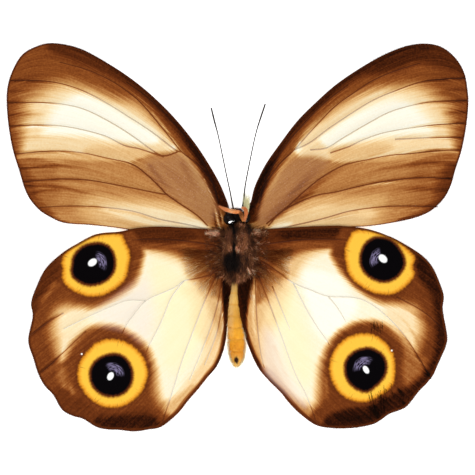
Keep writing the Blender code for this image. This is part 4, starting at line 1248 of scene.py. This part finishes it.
def eyespot(finish, colour, count, spot, place, colours):
    """Paint one eyespot: yellow ring, black disc, bluish scales and white pupil."""
    over, up = place[0] - spot["middle"][0], place[1] - spot["middle"][1]
    reach = finish.math("SQRT", over * over + up * up) + 0.01
    over, up = over / reach, up / reach
    fan = {0: over * 13.0, 1: up * 13.0, 2: reach * 0.3}
    feather = finish.noise(finish.node("ShaderNodeCombineXYZ", {}, fan).outputs[0], 1.0, 3.0) - 0.5
    rough = finish.noise(finish.place(), 2600.0, 2.0) - 0.5
    inner = finish.attribute("ring %d" % count)
    ring = inner + feather * 0.7 + rough * 0.3
    strands = finish.ease(feather, 0.13, 0.2) * (1 - finish.ease(inner, 0.2, 1.9))
    yellow = finish.mix(finish.ease(ring, 0.0, 1.0), colours.orange_rim, colours.yellow)
    yellow = finish.mix(strands * 0.5, yellow, colours.rust)
    colour = finish.mix(finish.ease(ring, -0.3, 0.35), colour, yellow)
    core = finish.attribute("disc %d" % count) + rough * 0.35 + feather * 0.3
    colour = finish.mix(finish.ease(core, -0.75, -0.05), colour, colours.rust)
    colour = finish.mix(finish.ease(core, -0.3, 0.4), colour, colours.black)
    angle, radius, spread = spot["blue"]
    facing = over * math.cos(math.radians(angle)) + up * math.sin(math.radians(angle))
    sector = finish.ease(facing, math.cos(math.radians(spread)) - 0.12, 0.9)
    band = 1 - finish.ease(finish.math("ABSOLUTE", reach - radius), 0.45, 1.0)
    arcs = {0: over * 2.2, 1: up * 2.2, 2: reach * 5.0}
    arcs = finish.noise(finish.node("ShaderNodeCombineXYZ", {}, arcs).outputs[0], 1.0, 4.0)
    colour = finish.mix(sector * band * finish.ease(arcs, 0.36, 0.62), colour, colours.blue)
    px, py, long, short, turn = spot["pupil"]
    pupil = ring_distance(finish, *place, (px, py), (long, short), turn)
    return finish.mix(1 - finish.ease(pupil, 0.8, 1.15), colour, (1.0, 1.0, 1.0))


def hindwing_material(name, wing, colours):
    """Underside of a hindwing: cream with brown margins and two eyespots."""
    finish = Finish(name, 0.7, 0.03)
    colour, fine, grain = scaly_wing(finish, colours, 0.45, 0.65)
    colour = finish.mix(finish.attribute("tint") * 0.5, colour, colours.rosy)
    colour = finish.mix(finish.attribute("glow") * 0.55, colour, colours.glow)
    place = finish.millimetres()
    for count, spot in enumerate(wing["spots"]):
        colour = eyespot(finish, colour, count, spot, place, colours)
    for dot in wing["dots"]:
        speck = ring_distance(finish, *place, dot, (0.23, 0.23))
        colour = finish.mix(1 - finish.ease(speck, 0.6, 1.0), colour, (1.0, 0.95, 0.85))
    edge = 1 - finish.ease(finish.attribute("rim") + fine * 0.3, 0.25, 0.65)
    colour = finish.mix(edge * 0.85, colour, colours.bark)
    return finish.finish(colour, fine * 0.5 + grain, SCALE_RELIEF)


def vein_material(name, colours, depth, start, pale_shade):
    """Veins: greyish where they cross cream, and darker than the scales elsewhere."""
    finish = Finish(name, 0.6, 0.08)
    tone = finish.attribute("tone")
    pale = finish.ease(tone, start, start + 0.18)
    dark = scale_colour(finish, colours, tone * depth)
    return finish.finish(finish.mix(pale, dark, pale_shade))


def hair_material(name, dark, light):
    """Hair from a dark root to a lighter tip, each strand a little different."""
    finish = Finish(name, 0.8, 0.1)
    share = finish.attribute("shade") * 0.75 + finish.attribute("tip") * 0.25
    return finish.finish(finish.mix(share, dark, light))


def fringe_material(name, colours):
    """Hair scales along the margin, darker than the wing beside them."""
    finish = Finish(name, 0.8, 0.05)
    tone = finish.attribute("tone") * 0.55 + finish.attribute("shade") * 0.15
    return finish.finish(scale_colour(finish, colours, tone))


def build_wing(name, wing, level, materials, sizes, rng):
    """One wing of membrane, veins and fringe."""
    sheet = wing_sheet(name, wing, level, sizes)
    paint(sheet, materials[0])
    veins = wing_veins(name + " veins", wing, level, sizes)
    paint(veins, materials[1])
    fringe = wing_fringe(name + " fringe", wing, level, sizes, rng)
    paint(fringe, materials[2])
    piece = join([sheet, veins, fringe])
    piece.data.shade_smooth()
    wing_attributes(piece, wing)
    return piece


def both(left, right):
    """The two sides' names with what each of them has."""
    return ("left", left), ("right", right)


class BUTTERFLY_OT_forewings(bpy.types.Operator):
    """Make both forewings with their membrane, veins and fringe"""

    bl_idname = "butterfly.forewings"
    bl_label = "Forewings"

    def execute(self, context):
        sizes = context.scene.specimen_sizes
        colours = context.scene.specimen_colours
        materials = (
            forewing_material(colours),
            vein_material("forewing veins", colours, 0.68, 0.78, colours.vein),
            fringe_material("forewing fringe", colours),
        )
        for side, wing in both(FOREWING_LEFT, FOREWING_RIGHT):
            rng = np.random.default_rng(SEED)
            name = "forewing_membrane_" + side
            piece = build_wing(name, wing, forewing_level, materials, sizes, rng)
            dress(piece, "forewing_scales", "forewing_" + side)
        return {"FINISHED"}


class BUTTERFLY_OT_hindwings(bpy.types.Operator):
    """Make both hindwings with their eyespots, veins, fringe and the long hair at their roots"""

    bl_idname = "butterfly.hindwings"
    bl_label = "Hindwings"

    def execute(self, context):
        sizes = context.scene.specimen_sizes
        colours = context.scene.specimen_colours
        for side, wing in both(HINDWING_LEFT, HINDWING_RIGHT):
            rng = np.random.default_rng(SEED)
            materials = (
                hindwing_material("hindwing scales " + side, wing, colours),
                vein_material("hindwing veins " + side, colours, 0.8, 0.74, colours.hind_vein),
                fringe_material("hindwing fringe " + side, colours),
            )
            name = "hindwing_membrane_" + side
            piece = build_wing(name, wing, hindwing_level, materials, sizes, rng)
            dress(piece, "hindwing_scales", "hindwing_" + side)
            self.root_hair(side, wing, colours, rng)
        return {"FINISHED"}

    def root_hair(self, side, wing, colours, rng):
        """Long hair that fans out over the hindwing from its root, toned like the scales there."""
        way = -1 if side == "left" else 1
        count = ROOT_HAIRS
        angle = np.radians(rng.uniform(-92, 10, count))
        reach = 0.6 + rng.random(count) * 7.8
        aim = np.column_stack([way * np.cos(angle), np.sin(angle)])
        flat = np.array([way * 2.0, -3.6]) + aim * reach[:, None]
        kept = inside(flat, smooth_line(rows(wing["outline"], 2), 4, closed=True))
        flat, aim, reach = flat[kept], aim[kept], reach[kept]
        count = len(flat)
        aim = unit(aim + rng.normal(0, 0.1, (count, 2)))
        lengths = rng.uniform(0.8, 1.9, count)
        tone = painted(flat + aim * lengths[:, None] * 0.8, wing)
        shades = np.clip(tone + 0.04 + rng.normal(0, 0.1, count), 0, 1)
        for left, right, low, high, number in wing["strands"]:
            more = np.column_stack([rng.uniform(left, right, number), rng.uniform(low, high, number)])
            flat = np.vstack([flat, more])
            aim = np.vstack([aim, unit(rng.normal(0, 0.06, (number, 2)) + np.array([[0.12, -1.0]]))])
            lengths = np.append(lengths, rng.uniform(0.8, 1.8, number))
            shades = np.append(shades, np.full(number, STRAND_TONE))
        count = len(flat)
        widths = np.where(shades == STRAND_TONE, STRAND_WIDTH, DOWN_WIDTH)
        roots = np.column_stack([flat, hindwing_level(flat) + 0.05])
        aims = np.column_stack([aim, rng.uniform(0.0, 0.06, count)])
        bends = np.column_stack([rng.normal(0, 0.05, (count, 2)), np.full(count, -0.04)])
        piece = hairs("hindwing_root_hair_" + side, roots, aims, bends, lengths, widths, shades)
        finish = Finish("root hair " + side, 0.8, 0.05)
        tone = finish.attribute("shade") + (finish.attribute("tip") - 0.5) * 0.08
        paint(piece, finish.finish(scale_colour(finish, colours, tone)))
        dress(piece, "body_fur")


def ball(name, centre, radii, segments, rings):
    """A finely divided ball at its size and place, rolled from a grid and closed."""
    made = grid(name, segments, rings)
    flat = points_of(made.data)
    turn, rise = flat[:, 0] * math.pi, flat[:, 1] * math.pi / 2
    places = np.column_stack([np.cos(rise) * np.cos(turn), np.cos(rise) * np.sin(turn), np.sin(rise)])
    move_points(made.data, (places * np.array(radii) + np.array(centre)) * MM)
    edit((bpy.ops.mesh.remove_doubles, {"threshold": WELD}))
    made.data.shade_smooth()
    return made


def fur_finish(name, colours):
    """Fur whose colour follows its tone, lighter towards the tips."""
    finish = Finish(name, 0.75, 0.12)
    tone = finish.attribute("shade") * (finish.attribute("tip") * 0.35 + 0.82)
    return finish.finish(ramp_colour(finish, colours, FUR_TONES, tone))


def bare(piece, name, share, colours):
    """Skin under the fur, toned like the fur but darker by a share."""
    places = points_of(piece.data) / MM
    carry(piece.data, "shade", painted(places[:, :2], CHEST) * share)
    carry(piece.data, "tip", np.full(len(places), 0.4))
    paint(piece, fur_finish(name, colours))


def coat(name, places, aims, normals, lengths, rng, colours, width=0.05, spread=0.16):
    """Fur from given places, toned by the painting of the chest and clumped at random."""
    count = len(places)
    middle = places + unit(aims) * lengths[:, None] * 0.4
    tone = painted(middle[:, :2], CHEST)
    clumps = (patchy(places, 3.2, rng) - 0.5) * 0.5 + rng.normal(0, spread, count)
    tone = np.clip(tone + clumps * (0.25 + tone), 0, 1)
    bends = unit(aims) * 0.15 - normals * 0.3 + rng.normal(0, 0.16, (count, 3))
    made = hairs(name, places, aims, bends, lengths, width, tone)
    paint(made, fur_finish(name, colours))
    return made


def fur(name, body, count, flow, length, lift, rng, dark, light, width):
    """Fur on a small body, combed along a flow direction."""
    places, normals = scatter(body, count, rng)
    flows = np.array(flow)[None, :] + rng.normal(0, 0.3, (count, 3))
    flows = flows - normals * np.sum(flows * normals, axis=1)[:, None]
    aims = unit(unit(flows) * (1 - lift) + normals * (lift + rng.uniform(-0.1, 0.1, count))[:, None])
    bends = unit(flows) * 0.25 - normals * 0.15
    lengths = length * rng.uniform(0.6, 1.2, count)
    shades = np.clip(patchy(places, 0.9, rng) * 0.8 + rng.normal(0, 0.15, count), 0, 1)
    made = hairs(name, places, aims, bends, lengths, width, shades)
    paint(made, hair_material(name + " hair", dark, light))
    return made


def skin(name, dark, light, scale=1400.0, roughness=0.6):
    """Skin under the fur, with small patches of two colours."""
    finish = Finish(name, roughness, 0.1)
    blotch = finish.noise(finish.place(), scale, 4.0)
    colour = finish.mix(finish.ease(blotch, 0.35, 0.65), dark, light)
    return finish.finish(colour, blotch, 0.00008)


class BUTTERFLY_OT_thorax(bpy.types.Operator):
    """Make the chest with its fur, and the fur that spreads over the wings' roots"""

    bl_idname = "butterfly.thorax"
    bl_label = "Chest"

    def execute(self, context):
        sizes = context.scene.specimen_sizes
        colours = context.scene.specimen_colours
        rng = np.random.default_rng(SEED)
        chest = ball("chest", THORAX_CENTRE, THORAX_RADII, 64, 44)
        places = points_of(chest.data) / MM
        across = (places[:, 0] - CREASE_X) / CREASE_WIDTH
        top = places[:, 2] > THORAX_CENTRE[2]
        places[:, 2] -= np.where(top, CREASE_DEPTH * np.exp(-across ** 2), 0)
        places[:, 2] = np.maximum(places[:, 2], 0.05)
        move_points(chest.data, places * MM)
        bare(chest, "chest skin", 0.6, colours)
        places, normals = scatter(chest, sizes.hairs, rng)
        upper = places[:, 2] > 0.8
        places, normals = places[upper], normals[upper]
        out = places[:, :2] - np.array([[-0.3, 0.6]])
        flat = np.column_stack([unit(out) * np.array([[0.55, 1.0]]), np.zeros(len(out))])
        side = np.clip(1.15 - normals[:, 2], 0, 1)
        aims = flat + normals * 0.35 + rng.normal(0, 0.32, flat.shape)
        lengths = sizes.fur / MM * rng.uniform(0.5, 1.05, len(out)) * (0.75 + 0.25 * side)
        pelt = coat("chest fur", places, aims, normals, lengths, rng, colours)
        piece = join([chest, pelt, self.wing_roots(rng, colours), self.collar(rng, colours)])
        dress(piece, "body_fur", "thorax")
        return {"FINISHED"}

    def collar(self, rng, colours):
        """Fur that spreads from the chest's end over the front of the hind body."""
        count = COLLAR_HAIRS
        across = rng.uniform(-1, 1, count)
        ring = np.sqrt(1 - across ** 2)
        roots = np.column_stack([-0.5 + across * 1.7, -6.7 - rng.random(count) * 1.3 * ring - 0.2,
                                 1.5 + 2.7 * ring])
        aims = np.column_stack([across * 0.2, np.full(count, -1.0), 0.25 * ring - 0.05])
        aims = aims + rng.normal(0, 0.22, (count, 3))
        normals = np.column_stack([across, np.zeros(count), ring])
        lengths = rng.uniform(0.8, 1.8, count)
        return coat("collar fur", roots, aims, normals, lengths, rng, colours)

    def wing_roots(self, rng, colours):
        """Rough fur on the wings' roots, beside the chest."""
        count = KNOT_HAIRS
        side = np.where(rng.random(count) < 0.5, -1, 1)
        flat = np.column_stack([side * (2.4 + rng.random(count) ** 1.7 * 3.6),
                                rng.uniform(-8.2, 1.8, count)])
        knots = np.column_stack([side * rng.normal(4.6, 0.9, count), rng.normal(0.6, 0.32, count)])
        flat = np.where((rng.random(count) < 0.16)[:, None], knots, flat)
        near = np.hypot(flat[:, 0], (flat[:, 1] + 3.0) * 0.8) < 6.6
        flat, side = flat[near], side[near]
        count = len(flat)
        level = np.where(flat[:, 1] > 1.0, forewing_level(flat), hindwing_level(flat))
        slope = np.clip((4.2 - np.abs(flat[:, 0])) * 0.5, 0, 0.9)
        places = np.column_stack([flat, level + 0.06 + slope])
        aims = np.column_stack([side * 1.0, (flat[:, 1] + 3.0) * 0.12, np.full(count, 0.28)])
        aims = aims + rng.normal(0, 0.4, (count, 3)) * np.array([[1, 1, 0.4]])
        normals = np.tile([0.0, 0.0, 1.0], (count, 1))
        lengths = rng.uniform(0.4, 1.2, count)
        return coat("root fur", places, aims, normals, lengths, rng, colours, 0.045, 0.2)


class BUTTERFLY_OT_legs(bpy.types.Operator):
    """Make the legs folded along the chest"""

    bl_idname = "butterfly.legs"
    bl_label = "Legs"

    def execute(self, context):
        colours = context.scene.specimen_colours
        for side, route in both(LEGS_LEFT, LEGS_RIGHT):
            rng = np.random.default_rng(SEED)
            lines = []
            for shift, thick, low in ((-0.42, 0.3, 0.0), (0.0, 0.36, 0.25), (0.42, 0.3, 0.05)):
                line = []
                for step, (x, y) in enumerate(route):
                    radius = thick * (1.0, 1.1, 0.9, 0.35)[step]
                    line.append((x + shift * (1.0, 1.0, 0.8, 0.4)[step], y + shift * 0.3,
                                 chest_top(x + shift, y) + low, radius))
                lines.append(line)
            legs = tubes("folded_legs_" + side, lines, 12)
            bare(legs, "leg skin " + side, 0.85, colours)
            places, normals = scatter(legs, LEG_HAIRS, rng)
            aims = normals * 0.3 + np.array([[0.0, -1.0, 0.0]]) + rng.normal(0, 0.3, normals.shape)
            lengths = rng.uniform(0.3, 0.8, len(places))
            pelt = coat("leg fur " + side, places, aims, normals, lengths, rng, colours, 0.03)
            piece = join([legs, pelt])
            dress(piece, "leg_fur", "legs_" + side)
        return {"FINISHED"}


def chest_top(x, y):
    """Height of the chest's upper face, in millimetres."""
    across = (x - THORAX_CENTRE[0]) / THORAX_RADII[0]
    along = (y - THORAX_CENTRE[1]) / THORAX_RADII[1]
    return THORAX_CENTRE[2] + THORAX_RADII[2] * math.sqrt(max(1 - across ** 2 - along ** 2, 0.05))


class BUTTERFLY_OT_head(bpy.types.Operator):
    """Make the head with its fur and the pale tuft beside the right antenna"""

    bl_idname = "butterfly.head"
    bl_label = "Head"

    def execute(self, context):
        colours = context.scene.specimen_colours
        rng = np.random.default_rng(SEED)
        head = ball("skull", HEAD_CENTRE, HEAD_RADII, 48, 32)
        bare(head, "head skin", 0.6, colours)
        places, normals = scatter(head, HEAD_HAIRS, rng)
        clear = away_from_eyes(places)
        places, normals = places[clear], normals[clear]
        aims = normals * 0.6 + rng.normal(0, 0.4, normals.shape) + np.array([[0.2, -0.2, 0.0]])
        lengths = rng.uniform(0.35, 0.9, len(places))
        pelt = coat("head fur", places, aims, normals, lengths, rng, colours, 0.032)
        brow = ball("brow", BROW_CENTRE, BROW_RADII, 24, 16)
        paint(brow, skin("brow skin", srgb(20, 12, 22), srgb(60, 40, 62)))
        piece = join([head, pelt, brow, self.tuft(rng, colours)])
        dress(piece, "body_fur", "head")
        return {"FINISHED"}

    def tuft(self, rng, colours):
        """Long pale hairs that stand forward from the right side of the head."""
        count = TUFT_HAIRS
        share = rng.random(count)
        roots = np.column_stack([1.35 + share * 0.8, rng.uniform(4.4, 5.6, count),
                                 rng.uniform(2.6, 3.6, count)])
        aims = np.column_stack([-0.14 + share * 0.3, np.full(count, 1.0), rng.normal(-0.08, 0.06, count)])
        bends = rng.normal(0, 0.05, (count, 3))
        lengths = rng.uniform(1.8, 4.2, count)
        tuft = hairs("head tuft", roots, aims, bends, lengths, 0.045, rng.random(count))
        paint(tuft, hair_material("tuft hair", colours.tuft_dark, colours.tuft))
        return tuft


def away_from_eyes(places):
    """True for places that are clear of both eyes."""
    clear = np.ones(len(places), dtype=bool)
    for eye in (EYE_LEFT, EYE_RIGHT):
        clear &= np.linalg.norm(places - np.array(eye[:3]), axis=1) > eye[3] + 0.12
    return clear


class BUTTERFLY_OT_eyes(bpy.types.Operator):
    """Make both glossy compound eyes"""

    bl_idname = "butterfly.eyes"
    bl_label = "Eyes"

    def execute(self, context):
        for side, eye in both(EYE_LEFT, EYE_RIGHT):
            piece = ball("compound_eye_" + side, eye[:3], [eye[3]] * 3, 96, 72)
            finish = Finish("eye " + side, 0.25, 0.1)
            blush = finish.noise(finish.place(), 900.0)
            colour = finish.mix(blush, (0.001, 0.0006, 0.0008), (0.006, 0.003, 0.002))
            paint(piece, finish.finish(colour))
            if side == "left":
                self.facet(piece, eye)
            dress(piece, "eye_gloss", "eye_" + side)
        return {"FINISHED"}

    def facet(self, piece, eye):
        """Give the rear of an eye a smooth flat oval, which mirrors the low lamp."""
        places = points_of(piece.data) / MM - np.array(eye[:3])
        facing = unit(unit(np.array([LOW_LAMP])) + np.array([[0.0, 0.0, 1.0]]))[0]
        over = unit(np.array([[1.0, 0.0, 0.0]]) - facing[0] * facing)[0]
        up = np.cross(over, facing)
        gap = np.hypot(places @ over / 0.6, places @ up / 0.32)
        share = np.clip((1.3 - gap) / 0.3, 0, 1) * (places @ facing > 0)
        excess = places @ facing - 0.93 * eye[3]
        places = places - (share * excess)[:, None] * facing
        move_points(piece.data, (places + np.array(eye[:3])) * MM)
        finish = Finish("eye facet", 0.08, 1.0)
        paint(piece, finish.finish((0.004, 0.003, 0.003)))
        smooth = [min(share[place] for place in face.vertices) > 0.99 for face in piece.data.polygons]
        piece.data.polygons.foreach_set("material_index", np.array(smooth, dtype=np.int32))


class BUTTERFLY_OT_palps(bpy.types.Operator):
    """Make both orange palps with their short fur"""

    bl_idname = "butterfly.palps"
    bl_label = "Palps"

    def execute(self, context):
        colours = context.scene.specimen_colours
        pale = (colours.palp_dark, colours.orange, colours.palp_tip)
        deep = (colours.rust, colours.ember, colours.orange)
        for side, lines in both([(PALP_LEFT, pale)], [(PALP_RIGHT, pale), (PALP_INNER, deep)]):
            rng = np.random.default_rng(SEED)
            parts = []
            for line, (dark, middle, light) in lines:
                palp = tubes("orange_palp_" + side, [line], 16)
                paint(palp, skin("palp skin " + side, dark, middle))
                flow = np.array(line[-1][:3]) - np.array(line[0][:3])
                pelt = fur("palp fur " + side, palp, PALP_HAIRS, flow / np.linalg.norm(flow), 0.32, 0.3,
                           rng, dark, light, 0.03)
                parts += [palp, pelt]
            piece = join(parts)
            dress(piece, "palp_fur", "palp_" + side)
        return {"FINISHED"}


class BUTTERFLY_OT_antennae(bpy.types.Operator):
    """Make both ringed antennae"""

    bl_idname = "butterfly.antennae"
    bl_label = "Antennae"

    def execute(self, context):
        for side, line in both(ANTENNA_LEFT, ANTENNA_RIGHT):
            smooth = even(smooth_line(line, 12), 180)
            rings = 1.3 + 0.06 * np.cos(np.arange(len(smooth)) * math.pi)
            smooth[:, 3] *= rings
            piece = tubes("ringed_antenna_" + side, [smooth], 8, steps=1)
            paint(piece, skin("antenna " + side, srgb(26, 20, 18), srgb(62, 54, 48), 2500.0, 0.5))
            dress(piece, "antenna_shell", "antenna_" + side)
        return {"FINISHED"}


class BUTTERFLY_OT_abdomen(bpy.types.Operator):
    """Make the segmented hind body with its down and pale fringe"""

    bl_idname = "butterfly.abdomen"
    bl_label = "Abdomen"

    def execute(self, context):
        sizes = context.scene.specimen_sizes
        colours = context.scene.specimen_colours
        rng = np.random.default_rng(SEED)
        line = even(smooth_line(ABDOMEN, 10), 130)
        segment = (RING_START - line[:, 1]) / RING_LENGTH
        groove = np.abs((segment % 1.0) - 0.5) * 2
        line[:, 3] *= 1 - 0.1 * groove ** 6
        body = tubes("hind_body", [line], 40, steps=1)
        paint(body, self.finish("abdomen skin", colours))
        places, normals = scatter(body, DOWN_HAIRS, rng)
        count = len(places)
        aims = normals * 0.25 + np.array([[0.0, -1.0, 0.0]]) + rng.normal(0, 0.25, (count, 3))
        side = np.clip(1 - np.abs(normals[:, 2]), 0, 1)
        lengths = sizes.down / MM * rng.uniform(0.6, 1.2, count) * (0.8 + 0.5 * side)
        pelt = hairs("abdomen down", places, aims, -normals * 0.1, lengths, DOWN_WIDTH, rng.random(count))
        paint(pelt, self.finish("abdomen hair", colours, True))
        piece = join([body, pelt, self.fringe(body, rng, colours)])
        dress(piece, "abdomen_fur", "abdomen")
        return {"FINISHED"}

    def fringe(self, body, rng, colours):
        """Fine pale hair that stands out round the hind end."""
        places, normals = scatter(body, END_HAIRS, rng)
        kept = (np.abs(normals[:, 2]) < 0.6) & (rng.random(len(places)) < (-places[:, 1] - 17) / 9)
        places, normals = places[kept], normals[kept]
        count = len(places)
        aims = normals * np.array([[1.0, 1.0, 0.3]]) + np.array([[0.0, -0.9, 0.0]])
        aims = aims + rng.normal(0, 0.15, (count, 3))
        made = hairs("abdomen fringe", places, aims, np.zeros((count, 3)),
                     rng.uniform(0.4, 0.75, count), END_WIDTH, rng.random(count))
        paint(made, hair_material("fringe hair", colours.straw_hair, colours.tuft))
        return made

    def finish(self, name, colours, hair=False):
        """Yellow, more orange towards the end, with faint rings and a dark spot near the tip."""
        finish = Finish(name, 0.6, 0.12)
        x, y = finish.millimetres()
        along = (y * -1.0 - 9.0) / 17.0
        rings = finish.math("ABSOLUTE", finish.math("FRACT", along * 17.0 / RING_LENGTH) - 0.5) * 2.0
        blotch = finish.noise(finish.place(), 1100.0, 4.0)
        colour = ramp_colour(finish, colours, ABDOMEN_TONES, along + (blotch - 0.5) * 0.12)
        pale = 1 - finish.ease(x + (blotch - 0.5) * 0.8, -1.5, -0.3)
        colour = finish.mix(pale * (1 - finish.ease(along, 0.5, 0.75)) * 0.45, colour, colours.straw)
        dark = finish.ease(rings, 0.7, 1.0) * 0.45 + (1 - finish.ease(blotch, 0.3, 0.55)) * 0.3
        if hair:
            dark = dark + finish.attribute("shade") * 0.25
        colour = finish.mix(dark, colour, colours.honey)
        tip = ring_distance(finish, x, y, (-0.15, -24.7), (0.52, 0.9))
        colour = finish.mix((1 - finish.ease(tip + blotch * 0.9, 0.9, 1.7)), colour, colours.umber)
        return finish.finish(colour, blotch, 0.00006)


class BUTTERFLY_OT_stage(bpy.types.Operator):
    """Make the pale floor, the soft light and the camera"""

    bl_idname = "butterfly.stage"
    bl_label = "Stage"

    def execute(self, context):
        deselect()
        bpy.ops.mesh.primitive_plane_add(size=3.0, location=(0, 0, 0))
        floor = named("floor")
        finish = Finish("floor paper", 0.9, 0.0)
        finish.shader.inputs["Emission Color"].default_value = WHITE
        finish.shader.inputs["Emission Strength"].default_value = FLOOR_GLOW
        grain = finish.noise(finish.place(), 300.0)
        colour = finish.mix(grain, (0.93, 0.93, 0.93), (0.95, 0.95, 0.95))
        paint(floor, finish.finish(colour))
        scene = bpy.context.scene
        world = bpy.data.worlds.new("soft studio")
        scene.world = world
        world.use_nodes = True
        background = world.node_tree.nodes["Background"]
        background.inputs["Color"].default_value = WHITE
        background.inputs["Strength"].default_value = WORLD_GLOW
        for lamp in LAMPS:
            self.lamp(*lamp)
        self.camera()
        scene.view_settings.view_transform = "Standard"
        return {"FINISHED"}

    def lamp(self, name, place, size, watts):
        """A soft oblong lamp aimed at the specimen."""
        bpy.ops.object.light_add(type="AREA", location=place)
        lamp = bpy.context.active_object
        lamp.name = name
        lamp.data.shape = "RECTANGLE"
        lamp.data.size, lamp.data.size_y = size
        lamp.data.energy = watts
        lamp.rotation_euler = Vector(place).to_track_quat("Z", "Y").to_euler()

    def camera(self):
        """A long lens straight above the specimen, as in the photograph."""
        place = (*PHOTO_CENTRE, CAMERA_DISTANCE + WING_LEVEL)
        bpy.ops.object.camera_add(location=place, rotation=(0, 0, 0))
        camera = bpy.context.active_object
        camera.name = "camera"
        camera.data.sensor_width = SENSOR_MM
        camera.data.lens = SENSOR_MM * CAMERA_DISTANCE / PHOTO_WIDTH
        camera.data.clip_end = 20.0
        bpy.context.scene.camera = camera


STEPS = (
    BUTTERFLY_OT_forewings, BUTTERFLY_OT_hindwings, BUTTERFLY_OT_thorax, BUTTERFLY_OT_legs,
    BUTTERFLY_OT_head, BUTTERFLY_OT_eyes, BUTTERFLY_OT_palps, BUTTERFLY_OT_antennae,
    BUTTERFLY_OT_abdomen, BUTTERFLY_OT_stage,
)


class BUTTERFLY_PT_panel(bpy.types.Panel):
    """Lists the pieces, sizes and colours"""

    bl_idname = "BUTTERFLY_PT_panel"
    bl_label = "Butterfly specimen"
    bl_space_type = "VIEW_3D"
    bl_region_type = "UI"
    bl_category = "Butterfly"

    def draw(self, context):
        for step in STEPS:
            self.layout.operator(step.bl_idname)
        for group in (context.scene.specimen_sizes, context.scene.specimen_colours):
            column = self.layout.column()
            for name in group.__annotations__:
                column.prop(group, name)


CLASSES = (SpecimenSizes, SpecimenColours) + STEPS + (BUTTERFLY_PT_panel,)


def register():
    """Register the classes and hang the settings on the scene."""
    for one in CLASSES:
        bpy.utils.register_class(one)
    bpy.types.Scene.specimen_sizes = PointerProperty(type=SpecimenSizes)
    bpy.types.Scene.specimen_colours = PointerProperty(type=SpecimenColours)


def unregister():
    """Take the settings and the classes away again."""
    del bpy.types.Scene.specimen_colours
    del bpy.types.Scene.specimen_sizes
    for one in reversed(CLASSES):
        bpy.utils.unregister_class(one)


def main():
    """Make every piece in order."""
    register()
    bpy.ops.butterfly.forewings()
    bpy.ops.butterfly.hindwings()
    bpy.ops.butterfly.thorax()
    bpy.ops.butterfly.legs()
    bpy.ops.butterfly.head()
    bpy.ops.butterfly.eyes()
    bpy.ops.butterfly.palps()
    bpy.ops.butterfly.antennae()
    bpy.ops.butterfly.abdomen()
    bpy.ops.butterfly.stage()


if __name__ == "__main__":
    main()
